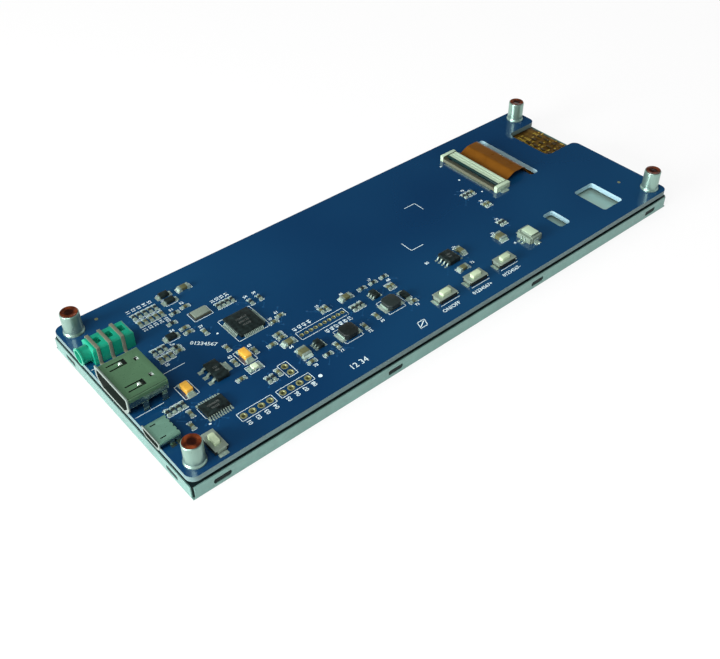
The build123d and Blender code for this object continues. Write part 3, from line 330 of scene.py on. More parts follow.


# The film discs over the spacers: red-brown, wrinkled and shiny, with painted shade over the bore, where
# the dark hole lies under the film
def makeDiscFilm():
    look = {"bore": (0.018, 0.004, 0.002), "dark": (0.045, 0.010, 0.004), "red": (0.17, 0.036, 0.009),
            "cloud": 620.0, "folds": 330.0, "contrast": (0.35, 0.7), "rim": (0.0010, 0.0018),
            "ragged": 0.0003, "gloss": 0.16, "uneven": 0.2, "crinkle": 0.3, "relief": 0.7, "depth": 0.0009}
    centre = middle(solidsOf("spacer_films")[-1])
    material, shader, start = newFinish("discFilm", {
        "Roughness": 0.25, "IOR": 1.35, "Coat Weight": 0.12, "Coat Roughness": 0.08})
    along = objectPoint(start)
    acrossX = start.maths("ABSOLUTE", along, 0.0) - abs(centre.x)
    acrossY = start.maths("ABSOLUTE", along.output("Y"), 0.0) - abs(centre.y)
    radius = start.maths("SQRT", acrossX * acrossX + acrossY * acrossY, 0.0)
    cloud = noise(start, look["cloud"], 3.0)
    folds = noise(start, look["folds"], 1.0)
    ring = mixColor(stretched(cloud, *look["contrast"]), look["dark"], look["red"])
    # Inside the rim radius the film takes the bore colour: painted shade of the hole beneath
    outside = stretched(radius + cloud * look["ragged"], *look["rim"], {"interpolation_type": "SMOOTHSTEP"})
    feed(shader, "Base Color", mixColor(outside, look["bore"], ring))
    feed(shader, "Roughness", cloud * look["uneven"] + look["gloss"])
    feed(shader, "Normal", bump(folds + cloud * look["crinkle"], look["relief"], look["depth"]))
    return material


finishes["boardMask"] = makeMask()
finishes["flexFilm"] = makeFlexFilm()
finishes["discFilm"] = makeDiscFilm()
finishes["backSteel"] = makeBackSteel()
print("finishes made:", len(finishes))


# Which nodes of the model get each finish
finishNodes = {
    "bezelSteel": "front_bezel", "backSteel": "rear_plate", "framePlastic": "mould_frame",
    "panelGlass": "tft_glass filter_glass", "polariser": "front_polariser rear_polariser",
    "opticFilm": "prism_film diffuser_film reflector_film", "clearAcrylic": "light_guide",
    "flexFilm": "panel_flex backlight_strip", "lampLens": "backlight_lamps power_lamp",
    "bareSilicon": "display_driver_chip", "tapeFoam": "foam_tapes", "boardMask": "driver_board",
    "goldPad": "header_pads", "spacerTin": "spacers", "discFilm": "spacer_films",
    "hdmiTin": "hdmi_shell", "usbTin": "usb_shell", "darkTin": "hdmi_insulator usb_insulator",
    "creamPlastic": "wafer_housing fpc_latch", "contactGold": "hdmi_contacts usb_contacts",
    "solder": "fpc_terminals wafer_pins switch_terminals main_chip_leads logic_chips_leads "
              "regulators_leads tantalum_straps inductor_straps diode_straps chip_end_caps",
    "jackMint": "audio_jack_body", "jackSpring": "audio_jack_contacts", "fpcBase": "fpc_housing",
    "blackPlastic": "switch_bases", "coverSteel": "switch_covers switch_domes crystal_lid",
    "chipEpoxy": "main_chip logic_chips regulators diode_bodies", "tantalumYellow": "tantalum_bodies",
    "ferrite": "inductor_bodies", "resistorBlack": "chip_resistors", "flexPart": "flex_parts",
    "capacitorTan": "chip_capacitors", "ceramicBase": "crystal_base",
}
nodeFinish = {node: finish for finish, nodes in finishNodes.items() for node in nodes.split()}
plungers = [f"switch_plunger_{number}" for number in (1, 2, 3, 4)]
nodeFinish.update(dict.fromkeys(plungers, "buttonCream"))
for node, finish in nodeFinish.items():
    mesh = frame["nodes"][node].data
    mesh.materials.clear()
    mesh.materials.append(finishes[finish])


# A new piece of the model from a mesh builder, riding on a body
def addPiece(name, build, finish, body="root", smooth=35.0):
    bm = bmesh.new()
    build(bm)
    bmesh.ops.recalc_face_normals(bm, faces=bm.faces)
    mesh = bpy.data.meshes.new(name)
    bm.to_mesh(mesh)
    bm.free()
    for kind in (finish if isinstance(finish, list) else [finish]):
        mesh.materials.append(finishes[kind])
    if smooth:
        mesh.shade_smooth()
        mesh.set_sharp_from_angle(angle=math.radians(smooth))
    piece = bpy.data.objects.new(name, mesh)
    bpy.context.scene.collection.objects.link(piece)
    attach(piece, body)
    return piece


# A new piece that takes the place of a node and rides on the node's body
def replaceNode(node, ending, build, finish):
    piece = addPiece(f"{node}.{ending}", build, finish, bodyOf[node])
    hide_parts(node)


# The node's own shape as clean flat faces, ready to have its edges rounded
def nodeShape(bm, node):
    bm.from_mesh(frame["nodes"][node].data)
    bmesh.ops.remove_doubles(bm, verts=bm.verts, dist=weldReach)
    bmesh.ops.dissolve_limit(bm, angle_limit=math.radians(1.0), verts=bm.verts, edges=bm.edges)


def roundEdges(bm, width, segments=2, sharper=30.0):
    limit = math.radians(sharper)
    edges = [e for e in bm.edges if len(e.link_faces) == 2 and e.calc_face_angle(0.0) > limit]
    bmesh.ops.bevel(bm, geom=edges, offset=width, segments=segments, profile=0.6, affect="EDGES",
                    clamp_overlap=True)


# How far the edges of each node are rounded, in millimetres
edgeWidths = {
    "front_bezel": 0.10, "spacers": 0.08, "hdmi_shell": 0.06, "usb_shell": 0.05,
    "audio_jack_body": 0.14, "audio_jack_contacts": 0.04, "fpc_housing": 0.06, "fpc_latch": 0.05,
    "wafer_pins": 0.05, "switch_bases": 0.08, "switch_covers": 0.05, **dict.fromkeys(plungers, 0.24),
    "main_chip": 0.10, "logic_chips": 0.10, "regulators": 0.10, "tantalum_bodies": 0.3,
    "inductor_bodies": 0.22, "diode_bodies": 0.08, "chip_resistors": 0.05, "chip_capacitors": 0.06,
    "chip_end_caps": 0.06, "crystal_lid": 0.08, "power_lamp": 0.08, "flex_parts": 0.05,
}


# The folded shells: a lip at the mouth in a tone of its own, tuned to the left lamp's light on it (painted
# light), painted highlights on the turned-up rims and catches, painted shade over the inside, and shiny
# walls below the bend
shellLooks = {
    "hdmi_shell": {"flare": 0.45, "wall": 0.35, "bend": 1.5, "catch": (8.9, 3.5), "catchReach": (0.6, 0.7),
                   "catchDepth": (0.05, 0.28)},
    "usb_shell": {"flare": 0.28, "wall": 0.25, "bend": 0.7, "catch": None},
}


# Whether a place is on a catch: along from the mouth, across from the middle, down from the top
def onCatch(look, along, across, depth):
    if not look["catch"]:
        return False
    nearX = abs(along - look["catch"][0] * mm) < look["catchReach"][0] * mm
    nearY = abs(across - look["catch"][1] * mm) < look["catchReach"][1] * mm
    return nearX and nearY and look["catchDepth"][0] * mm < depth < look["catchDepth"][1] * mm


def paintShell(bm, node):
    look = shellLooks[node]
    plain, bright, dark, shiny, lip = range(5)
    low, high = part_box(node)
    wall, hair = look["wall"] * mm, 0.02 * mm
    centre = (low + high) / 2
    half = (high.y - low.y) / 2 - look["flare"] * mm
    if not look["catch"]:
        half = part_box("usb_insulator")[1].y - centre.y + wall
    top = high.z - look["flare"] * mm
    bend = top - look["bend"] * mm
    whole = bm.verts[:] + bm.edges[:] + bm.faces[:]
    bmesh.ops.bisect_plane(bm, geom=whole, plane_co=(0, 0, bend), plane_no=(0, 0, 1))
    for face in bm.faces:
        spot = face.calc_center_median()
        across = abs(spot.y - centre.y)
        # The mouth lip: the shell's tin in a tone tuned to the left lamp's light on it, painted light
        if spot.x < low.x + wall:
            color = lip
        # Turned-up rims and catches: painted highlight
        elif spot.z > top + hair or onCatch(look, spot.x - low.x, across, top - spot.z):
            color = bright
        # Faces inside the shell: painted shade
        elif across < half - wall / 2 and spot.z < top - wall / 2:
            color = dark
        else:
            color = shiny if spot.z < bend else plain
        face.material_index = color


# The latch is dark round its heel
def paintLatch(bm, node):
    heel = 0.12
    low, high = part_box(node)
    edge = low.x + (high.x - low.x) * heel
    whole = bm.verts[:] + bm.edges[:] + bm.faces[:]
    bmesh.ops.bisect_plane(bm, geom=whole, plane_co=(edge, 0, 0), plane_no=(1, 0, 0))
    for face in bm.faces:
        face.material_index = 1 if face.calc_center_median().x < edge else 0


# The flex connector's body is darker between its two ends
def paintHousing(bm, node):
    low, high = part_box(node)
    end = 1.2 * mm
    for y in (low.y + end, high.y - end):
        whole = bm.verts[:] + bm.edges[:] + bm.faces[:]
        bmesh.ops.bisect_plane(bm, geom=whole, plane_co=(0, y, 0), plane_no=(0, 1, 0))
    for face in bm.faces:
        face.material_index = 1 if low.y + end < face.calc_center_median().y < high.y - end else 0


paints = {
    "fpc_housing": (paintHousing, ["creamPlastic", "fpcBase"]),
    "hdmi_shell": (paintShell, ["hdmiTin", "paintedGlintTin", "darkTin", "wallTin", "lipTin"]),
    "usb_shell": (paintShell, ["usbTin", "paintedGlintTin", "darkTin", "wallTin", "lipTin"]),
    "fpc_latch": (paintLatch, ["creamPlastic", "latchDark"]),
}


def roundedNode(node, width):
    paint, colors = paints.get(node, (None, nodeFinish[node]))

    def build(bm):
        nodeShape(bm, node)
        roundEdges(bm, width * mm)
        if paint:
            paint(bm, node)

    replaceNode(node, "rounded", build, colors)


for node, width in edgeWidths.items():
    roundedNode(node, width)
print("rounded pieces:", len(edgeWidths))


# The board with its mask on both faces, dull laminate round its outline and pale walls in its windows
def makeBoard():
    look = {"rim": 1.5, "notchReach": 14.0}
    rim = look["rim"] * mm
    notch = boardHigh.x - look["notchReach"] * mm

    def isWindow(spot):
        inside = boardLow.x + rim < spot.x < boardHigh.x - rim and abs(spot.y) < boardHigh.y - rim
        return inside and not (spot.x > notch and spot.y > 0)

    def build(bm):
        nodeShape(bm, "driver_board")
        for face in bm.faces:
            face.normal_update()
            wall = 2 if isWindow(face.calc_center_median()) else 1
            face.material_index = 0 if abs(face.normal.z) > 0.5 else wall

    replaceNode("driver_board", "faced", build, ["boardMask", "laminate", "cutEdge"])


makeBoard()


def addBox(bm, low, high):
    size = Vector(high) - Vector(low)
    place = Matrix.Translation((Vector(low) + Vector(high)) / 2) @ Matrix.Diagonal((*size, 1.0))
    bmesh.ops.create_cube(bm, size=1.0, matrix=place)


# A frustum between two level rectangles, each given by its low and high corner
def addSkirt(bm, base, top, z0, z1):
    rings = []
    for (x0, y0, x1, y1), z in ((base, z0), (top, z1)):
        rings.append([bm.verts.new((x, y, z)) for x, y in ((x0, y0), (x1, y0), (x1, y1), (x0, y1))])
    bm.faces.new(rings[0])
    bm.faces.new(rings[1])
    for i in range(4):
        j = (i + 1) % 4
        bm.faces.new((rings[0][i], rings[0][j], rings[1][j], rings[1][i]))


# A turned shape: rings of the given radius and height about a point, closed on itself or capped
def addTurned(bm, centre, profile, sides, closed=False):
    rings = []
    for radius, height in profile:
        ring = []
        for i in range(sides):
            turn = i * math.tau / sides
            away = Vector((radius * math.cos(turn), radius * math.sin(turn), height))
            ring.append(bm.verts.new(centre + away))
        rings.append(ring)
    following = rings[1:] + rings[:1] if closed else rings[1:]
    for outer, inner in zip(rings, following):
        for i in range(sides):
            j = (i + 1) % sides
            bm.faces.new((outer[i], outer[j], inner[j], inner[i]))
    if not closed:
        bm.faces.new(rings[0])
        bm.faces.new(rings[-1])


# The side on which a terminal looks away from its body: 0 for X or 1 for Y, and which way
def outwardSide(cap, bodies):
    centre = middle(cap)
    nearest = min(bodies, key=lambda body: (middle(body) - centre).length)
    away = centre - middle(nearest)
    axis = 0 if abs(away.x) > abs(away.y) else 1
    return axis, 1 if away[axis] > 0 else -1


solderLook = {"reach": 0.42, "side": 0.10, "rise": 0.62, "hug": 0.02, "pad": 0.07, "padHeight": 0.03}


# Solder round one terminal: a pad, and a fillet that climbs the metal
def addSolder(bm, cap, side, look):
    axis, way = side
    low, high = cap
    grow = [look["side"] * mm] * 4
    grow[axis + 2 if way > 0 else axis] = look["reach"] * mm
    base = (low.x - grow[0], low.y - grow[1], high.x + grow[2], high.y + grow[3])
    hug = look["hug"] * mm
    top = (low.x - hug, low.y - hug, high.x + hug, high.y + hug)
    rise = boardTop + (high.z - boardTop) * look["rise"]
    padHeight = look["padHeight"] * mm
    addSkirt(bm, base, top, boardTop + padHeight / 2, rise)
    pad = look["pad"] * mm
    addBox(bm, (base[0] - pad, base[1] - pad, boardTop),
           (base[2] + pad, base[3] + pad, boardTop + padHeight))


def makeSolder():
    chipBodies = solidsOf("chip_resistors") + solidsOf("chip_capacitors") + solidsOf("power_lamp")

    def chips(bm):
        for cap in solidsOf("chip_end_caps"):
            addSolder(bm, cap, outwardSide(cap, chipBodies), solderLook)

    # Straps, their bodies and how far the solder reaches
    def straps(bm):
        rows = (("tantalum_straps", "tantalum_bodies", 0.65), ("inductor_straps", "inductor_bodies", 0.45),
                ("diode_straps", "diode_bodies", 0.35))
        for name, bodies, reach in rows:
            around = solidsOf(bodies)
            look = dict(solderLook, rise=0.45, reach=reach, side=0.3)
            for strap in solidsOf(name):
                addSolder(bm, strap, outwardSide(strap, around), look)

    # Leads, their bodies and how far the solder spreads sideways; only the foot of a lead is wetted
    def leads(bm):
        footHeight = 0.2 * mm
        rows = (("main_chip_leads", "main_chip", 0.03), ("logic_chips_leads", "logic_chips", 0.05),
                ("regulators_leads", "regulators", 0.2), ("switch_terminals", "switch_bases", 0.25),
                ("wafer_pins", "wafer_housing", 0.15))
        for name, bodies, side in rows:
            around = solidsOf(bodies)
            look = dict(solderLook, rise=0.7, reach=0.3, side=side, pad=0.01)
            for lead in solidsOf(name):
                axis, way = outwardSide(lead, around)
                low, high = lead[0].copy(), lead[1].copy()
                foot = (high[axis] - low[axis]) / 2
                if way > 0:
                    low[axis] = high[axis] - foot
                else:
                    high[axis] = low[axis] + foot
                high.z = boardTop + footHeight
                addSolder(bm, (low, high), (axis, way), look)

    addPiece("chip_solder", chips, "solder", smooth=50.0)
    addPiece("strap_solder", straps, "solder", smooth=50.0)
    addPiece("lead_solder", leads, "solder", smooth=50.0)


makeSolder()
print("solder made")


inkLook = {"width": 0.15, "thickness": 0.015}


def boardPoint(x, y, lift=0.0):
    return Vector((x * mm, y * mm, boardTop + lift * mm))


# A printed line between two points of the board, in millimetres
def inkLine(bm, start, end, width=None):
    width = (width or inkLook["width"]) * mm
    a, b = boardPoint(*start), boardPoint(*end)
    along = b - a
    turn = math.atan2(along.y, along.x)
    size = Matrix.Diagonal((along.length + width, width, inkLook["thickness"] * mm, 1.0))
    lift = Vector((0.0, 0.0, inkLook["thickness"] * mm / 2))
    place = Matrix.Translation((a + b) / 2 + lift) @ Matrix.Rotation(turn, 4, "Z") @ size
    bmesh.ops.create_cube(bm, size=1.0, matrix=place)


def inkPath(bm, points, closed=False, width=None):
    ends = points[1:] + points[:1] if closed else points[1:]
    for start, end in zip(points, ends):
        inkLine(bm, start, end, width)


def inkBox(bm, x0, y0, x1, y1, width=None):
    inkPath(bm, [(x0, y0), (x1, y0), (x1, y1), (x0, y1)], True, width)


def inkDot(bm, x, y, radius):
    place = Matrix.Translation(boardPoint(x, y, inkLook["thickness"] / 2))
    bmesh.ops.create_cone(bm, cap_ends=True, segments=20, radius1=radius * mm, radius2=radius * mm,
                          depth=inkLook["thickness"] * mm, matrix=place)


# Printed brackets at both ends of each two-ended part
def inkBrackets(bm):
    look = {"reach": 0.62, "arm": 0.35, "side": 0.24, "width": 0.14}
    bodies = solidsOf("chip_resistors") + solidsOf("chip_capacitors")
    for cap in solidsOf("chip_end_caps"):
        axis, way = outwardSide(cap, bodies)
        low, high = cap[0] / mm, cap[1] / mm
        other = 1 - axis
        tip = (high[axis] if way > 0 else low[axis]) + way * look["reach"]
        back = tip - way * look["arm"]
        near, far = low[other] - look["side"], high[other] + look["side"]
        points = [(back, near), (tip, near), (tip, far), (back, far)]
        inkPath(bm, [p if axis == 0 else (p[1], p[0]) for p in points], width=look["width"])


# How far a printed frame stands off each kind of chip, along X and along Y
frameRoom = {
    "main_chip": (1.15, 0.75), "tantalum_bodies": (0.9, 1.0), "diode_bodies": (0.45, 0.45),
    "inductor_bodies": (0.55, 0.65), "crystal_base": (0.35, 0.35),
}


# Frames round the chips, and a line with a cut corner beside the first logic chip
def inkFrames(bm):
    for node, (side, end) in frameRoom.items():
        for low, high in solidsOf(node):
            inkBox(bm, low.x / mm - side, low.y / mm - end, high.x / mm + side, high.y / mm + end)
    room = 0.3
    low, high = (corner / mm for corner in solidsOf("logic_chips")[0])
    inkPath(bm, [(low.x - room, high.y), (low.x - room, low.y + room * 2), (low.x + room, low.y)])


# Marks with places of their own, read off the photograph: millimetres on the board
markLook = {
    "boxes": [(-68.8, -25.8, -58.8, -23.0), (-57.4, -25.8, -47.4, -23.0), (-51.9, -21.3, -49.1, -16.2),
              (-41.2, -12.8, -25.7, -9.7), (-58.4, -14.4, -54.2, -11.6)],
    "corners": [[(5.3, 0.7), (5.3, -3.5), (9.7, -3.5)], [(17.8, 13.2), (22.0, 13.2), (22.0, 9.3)]],
    "cornerWidth": 0.2,
    "switches": (-1.9, 9.7, 21.3), "switchLine": (3.35, -26.6, 0.18),
    "badge": [(-15.4, -29.4), (-13.0, -29.4), (-12.2, -27.2), (-14.6, -27.2)], "badgeWidth": 0.2,
    "slash": [(-14.9, -28.9), (-12.9, -27.7)], "slashWidth": 0.3,
    "lines": [[(-87.0, 12.4), (-79.5, 12.4)], [(-87.0, -8.6), (-79.5, -8.6)],
              [(-75.0, -0.3), (-68.5, -0.3)]],
    "dots": [(-56.2, 3.4, 0.3), (41.5, 13.5, 0.35), (42.3, 4.3, 0.3), (30.5, -20.3, 0.35),
             (42.5, 22.8, 0.3), (-45.8, -25.8, 0.55), (-74.9, -21.4, 0.3)],
}


def inkMarks(bm):
    for box in markLook["boxes"]:
        inkBox(bm, *box)
    for corner in markLook["corners"]:
        inkPath(bm, corner, width=markLook["cornerWidth"])
    half, y, width = markLook["switchLine"]
    for x in markLook["switches"]:
        inkLine(bm, (x - half, y), (x + half, y), width)
    inkPath(bm, markLook["badge"], True, markLook["badgeWidth"])
    inkPath(bm, markLook["slash"], width=markLook["slashWidth"])
    for line in markLook["lines"]:
        inkPath(bm, line)
    for dot in markLook["dots"]:
        inkDot(bm, *dot)


addPiece("printed_brackets", inkBrackets, "silkInk", smooth=None)
addPiece("printed_frames", inkFrames, "silkInk", smooth=None)
addPiece("printed_marks", inkMarks, "silkInk", smooth=None)


# Plain numbers and signs: text, x, y, height and turn in degrees
printedText = [
    ("ON/OFF", -3.3, -28.5, 1.7, 0), ("01234567+", 8.6, -28.5, 1.6, 0), ("01234567-", 20.2, -28.5, 1.6, 0),
    ("12 34", -35.8, -28.7, 2.5, 0), ("01234567", -61.0, 2.5, 1.75, -45),
]
# Rows of numbers: the first number, how many, where the first one stands, pitch and height.
# Single numbers beside the small parts follow them: only their places
numberLook = {
    "rows": [(1, 4, -67.6, -27.0, 2.54, 1.6), (5, 4, -56.2, -27.0, 2.54, 1.6),
             (31, 4, -50.1, 14.9, 1.45, 1.5), (41, 4, -40.3, -8.3, 1.55, 1.5),
             (11, 5, -69.4, 25.5, 1.6, 1.5), (21, 5, -69.4, 16.8, 1.6, 1.5),
             (45, 6, -34.2, -14.3, 1.5, 1.5)],
    "rowTurn": 90, "firstSingle": 51, "singleHeight": 1.25, "bold": 0.035,
    "singles": [(-60.3, 19.1), (-56.8, 19.7), (-63.0, 15.9), (-64.5, 11.9), (-72.0, 1.9), (-67.2, 7.4),
                (-58.0, 8.4), (-42.5, 10.6), (-39.7, 10.6), (-42.8, -0.9), (-40.0, 0.2), (-58.8, -5.9),
                (-52.7, -5.6), (-45.0, -13.0), (-30.4, -5.0), (-22.3, -5.2), (-12.6, -5.6), (-8.6, -9.0),
                (-20.8, -20.6), (-44.3, -22.2), (-36.0, -22.4), (-25.8, -21.6), (-9.5, -21.8),
                (15.6, -10.4), (14.6, -18.6), (28.9, -13.0), (35.0, -8.9), (38.3, 0.9), (37.9, 8.4),
                (4.6, -10.6)],
}


def boardNumbers():
    found = list(printedText)
    for first, count, x, y, pitch, height in numberLook["rows"]:
        for i in range(count):
            found.append((f"{first + i:02d}", x + pitch * i, y, height, numberLook["rowTurn"]))
    for i, (x, y) in enumerate(numberLook["singles"]):
        found.append((str(numberLook["firstSingle"] + i), x, y, numberLook["singleHeight"], 0))
    return found


# Lines of text as one mesh; each line is its text, place, height and turn
def makeText(name, lines, finish, bold):
    merged = bmesh.new()
    for body, spot, height, turn in lines:
        curve = bpy.data.curves.new("ink", "FONT")
        curve.body = body
        curve.size = height * mm
        curve.resolution_u = 2
        curve.offset = bold * mm / height
        curve.extrude = inkLook["thickness"] * mm / 2
        curve.align_x = "CENTER"
        curve.align_y = "CENTER"
        holder = bpy.data.objects.new("ink", curve)
        mesh = bpy.data.meshes.new_from_object(holder)
        mesh.transform(Matrix.Translation(spot) @ Matrix.Rotation(math.radians(turn), 4, "Z"))
        merged.from_mesh(mesh)
        bpy.data.objects.remove(holder)
        bpy.data.curves.remove(curve)
        bpy.data.meshes.remove(mesh)
    mesh = bpy.data.meshes.new(name)
    merged.to_mesh(mesh)
    merged.free()
    mesh.materials.append(finishes[finish])
    piece = bpy.data.objects.new(name, mesh)
    bpy.context.scene.collection.objects.link(piece)
    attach(piece, "root")


# Faint numbers on the tops of the chips: the node, which of its chips from the left, height and lines
chipMarkLook = {
    "chips": [("main_chip", 0, 1.0, ["1234567", "890123", "45678"]),
              ("logic_chips", 0, 0.85, ["12345678", "90123"]),
              ("logic_chips", 1, 0.8, ["1234", "567"]), ("regulators", 0, 0.8, ["123", "456"])],
    "spacing": 1.35, "lift": 0.002, "bold": 0.015,
}


def chipMarks():
    marks = []
    for node, number, height, words in chipMarkLook["chips"]:
        low, high = sorted(solidsOf(node), key=lambda solid: solid[0].x)[number]
        spacing = height * chipMarkLook["spacing"] * mm
        for i, word in enumerate(words):
            spot = (low + high) / 2
            spot.y += ((len(words) - 1) / 2 - i) * spacing
            spot.z = high.z + chipMarkLook["lift"] * mm
            marks.append((word, spot, height, 0))
    return marks


boardLines = [(body, boardPoint(x, y, inkLook["thickness"] / 2), height, turn)
              for body, x, y, height, turn in boardNumbers()]
makeText("printed_numbers", boardLines, "silkInk", numberLook["bold"])
makeText("chip_marks", chipMarks(), "laserMark", chipMarkLook["bold"])
print("print made")


# Tracks under the mask and the vias that they end in; the draws are seeded
trackLook = {
    "seed": 7, "count": 120, "draws": 960, "spread": 3.2, "apart": 0.9, "room": 0.55, "edge": 1.5,
    "width": 0.22, "height": 0.02, "viaRadius": 0.30,
    "viaProfile": [(1.0, 0.0), (0.8, 1.5), (0.4, 1.3), (0.2, 0.2)], "viaSides": 12,
    "avoided": "chip_resistors chip_capacitors chip_end_caps main_chip main_chip_leads logic_chips "
               "logic_chips_leads regulators regulators_leads tantalum_bodies tantalum_straps "
               "inductor_bodies inductor_straps diode_bodies diode_straps crystal_base power_lamp "
               "switch_bases switch_terminals wafer_housing wafer_pins hdmi_shell usb_shell "
               "audio_jack_body audio_jack_contacts fpc_housing fpc_terminals header_pads spacers",
}


# Whether a spot of the board lies this deep inside a box, or this far outside it where deep is negative
def within(spot, low, high, deep):
    return low.x + deep < spot.x < high.x - deep and low.y + deep < spot.y < high.y - deep


def viaSpots():
    look = trackLook
    rng = random.Random(look["seed"])
    taken = [box for node in look["avoided"].split() for box in solidsOf(node)]
    starts = [middle(box) for box in solidsOf("chip_end_caps") + solidsOf("logic_chips_leads")]
    spots = []
    for _ in range(look["draws"]):
        start = rng.choice(starts)
        x = start.x / mm + rng.uniform(-look["spread"], look["spread"])
        y = start.y / mm + rng.uniform(-look["spread"], look["spread"])
        spot = boardPoint(x, y)
        apart = all(math.hypot(x - s[0], y - s[1]) > look["apart"] for s in spots)
        if apart and within(spot, boardLow, boardHigh, look["edge"] * mm) and \
                not any(within(spot, *box, -look["room"] * mm) for box in taken):
            spots.append((x, y, start.x / mm, start.y / mm))
        if len(spots) == look["count"]:
            break
    return spots


def makeTracks():
    spots = viaSpots()

    def tracks(bm):
        for x, y, fromX, fromY in spots:
            dx, dy = fromX - x, fromY - y
            run = min(abs(dx), abs(dy))
            bend = (x + math.copysign(run, dx), y + math.copysign(run, dy))
            inkPath(bm, [(x, y), bend, (fromX, fromY)], width=trackLook["width"])

    def vias(bm):
        radius, height = trackLook["viaRadius"] * mm, trackLook["height"] * mm
        profile = [(radius * out, height * up) for out, up in trackLook["viaProfile"]]
        for x, y, _, _ in spots:
            addTurned(bm, boardPoint(x, y), profile, trackLook["viaSides"])

    addPiece("mask_tracks", tracks, "boardTrack", smooth=None)
    addPiece("mask_vias", vias, "boardTrack")
    print("vias made:", len(spots))


makeTracks()


# Plated holes with soft lips, and the two gold aiming marks
def makePads():
    look = {"sides": 24, "widePad": 0.8, "wideBore": 0.5, "smallBore": 0.35, "plating": 0.08,
            "lip": 0.14, "sink": 0.2, "chamfer": (0.05, 0.02), "shoulder": (0.4, 0.3),
            "marks": [(-77.0, 28.7), (78.8, -20.2)], "markSides": 20,
            "markProfile": [(0.5, 0.0), (0.5, 0.02), (0.4, 0.03)]}

    def build(bm):
        lip, sink = look["lip"] * mm, look["sink"] * mm
        chamferX, chamferZ = look["chamfer"]
        shoulderX, shoulderZ = look["shoulder"]
        for low, high in solidsOf("header_pads"):
            radius = (high.x - low.x) / 2
            bore = (look["wideBore"] if radius > look["widePad"] * mm else look["smallBore"]) * mm
            wall = bore + look["plating"] * mm
            centre = (low + high) / 2
            centre.z = 0.0
            profile = [(radius, high.z - chamferZ * mm), (radius - chamferX * mm, high.z),
                       (bore + lip, high.z), (bore + lip * shoulderX, high.z - sink * shoulderZ),
                       (bore, high.z - sink), (bore, low.z + sink), (bore + lip, low.z), (radius, low.z),
                       (radius, boardLow.z), (wall, boardLow.z), (wall, boardTop), (radius, boardTop)]
            addTurned(bm, centre, profile, look["sides"], closed=True)

    def marks(bm):
        profile = [(out * mm, up * mm) for out, up in look["markProfile"]]
        for x, y in look["marks"]:
            addTurned(bm, boardPoint(x, y), profile, look["markSides"])

    replaceNode("header_pads", "lipped", build, "goldPad")
    addPiece("aiming_marks", marks, "goldPad")


makePads()


# The small wafer housing: a raised hood, a lower ledge over the pins and two cheeks
def makeWafer():
    look = {"hoodFront": 0.9, "hoodBack": 0.55, "hoodSide": 0.88, "ledgeDepth": 1.26, "ledgeSide": 0.275,
            "ledgeHeight": 1.75, "cheekFront": 0.54, "cheekWidth": 0.715, "cheekHeight": 2.05,
            "backDepth": 0.55, "backSide": 0.55, "round": 0.09, "paleFrom": 2.15}
    low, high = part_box("wafer_housing")
    x0, y0, z0 = low / mm
    x1, y1, z1 = high / mm
    ledgeTop, cheekTop = z0 + look["ledgeHeight"], z0 + look["cheekHeight"]
    hood = (x0 + look["hoodFront"], y0 + look["hoodSide"], x1 - look["hoodBack"], y1 - look["hoodSide"], z1)
    ledge = (x0, y0 + look["ledgeSide"], x0 + look["ledgeDepth"], y1 - look["ledgeSide"], ledgeTop)
    cheekFront, width = x0 + look["cheekFront"], look["cheekWidth"]
    cheeks = [(cheekFront, y, x1, y + width, cheekTop) for y in (y0, y1 - width)]
    back = (x1 - look["backDepth"], y0 + look["backSide"], x1, y1 - look["backSide"], ledgeTop)

    def build(bm):
        for left, near, right, far, top in (hood, ledge, *cheeks, back):
            addBox(bm, Vector((left, near, z0)) * mm, Vector((right, far, top)) * mm)
        roundEdges(bm, look["round"] * mm)
        # Faces centred below this height take waferShade: painted shade on the ledge, the cheeks and the
        # lower faces; the top stays cream
        paleFrom = low.z + look["paleFrom"] * mm
        for face in bm.faces:
            face.material_index = 0 if face.calc_center_median().z > paleFrom else 1

    replaceNode("wafer_housing", "stepped", build, ["creamPlastic", "waferShade"])


makeWafer()


# The film discs over the spacers: a little sunk, with soft wrinkles
def makeDiscs():
    look = {"sink": 0.09, "flatness": 4, "wrinkle": 0.10, "waves": 3, "seed": 3, "rings": 7, "spokes": 28}
    rng = random.Random(look["seed"])
    sink, wrinkle = look["sink"] * mm, look["wrinkle"] * mm

    def build(bm):
        for low, high in solidsOf("spacer_films"):
            centre = (low + high) / 2
            radius = (high.x - low.x) / 2
            phase = rng.uniform(0, math.tau)
            rows = []
            for i in range(look["rings"] + 1):
                share = i / look["rings"]
                row = []
                for k in range(look["spokes"]):
                    turn = k * math.tau / look["spokes"]
                    dip = sink * (1 - share ** look["flatness"])
                    wave = wrinkle * share * (1 - share) * math.sin(look["waves"] * turn + phase)
                    x = centre.x + radius * share * math.cos(turn)
                    y = centre.y + radius * share * math.sin(turn)
                    row.append(bm.verts.new((x, y, high.z - dip + min(wave, dip))))
                    if i == 0:
                        break
                rows.append(row)
            for k in range(look["spokes"]):
                j = (k + 1) % look["spokes"]
                bm.faces.new((rows[0][0], rows[1][k], rows[1][j]))
                for inner, outer in zip(rows[1:], rows[2:]):
                    bm.faces.new((inner[k], outer[k], outer[j], inner[j]))
            floor = [bm.verts.new((v.co.x, v.co.y, low.z)) for v in rows[-1]]
            for k in range(look["spokes"]):
                j = (k + 1) % look["spokes"]
                bm.faces.new((rows[-1][k], floor[k], floor[j], rows[-1][j]))
            bm.faces.new(floor)

    replaceNode("spacer_films", "wrinkled", build, "discFilm")


# The film hangs a little down the outside of each spacer
def makeFilmSkirts():
    look = {"drop": 0.45, "thickness": 0.05, "sides": 40}

    def build(bm):
        for low, high in solidsOf("spacer_films"):
            radius = (high.x - low.x) / 2
            centre = (low + high) / 2
            centre.z = 0.0
            skin = radius + look["thickness"] * mm
            foot = low.z - look["drop"] * mm
            profile = [(radius, foot), (skin, foot), (skin, low.z), (radius, high.z)]
            addTurned(bm, centre, profile, look["sides"], closed=True)

    addPiece("spacer_films.skirts", build, "filmSkirt")


makeDiscs()
makeFilmSkirts()


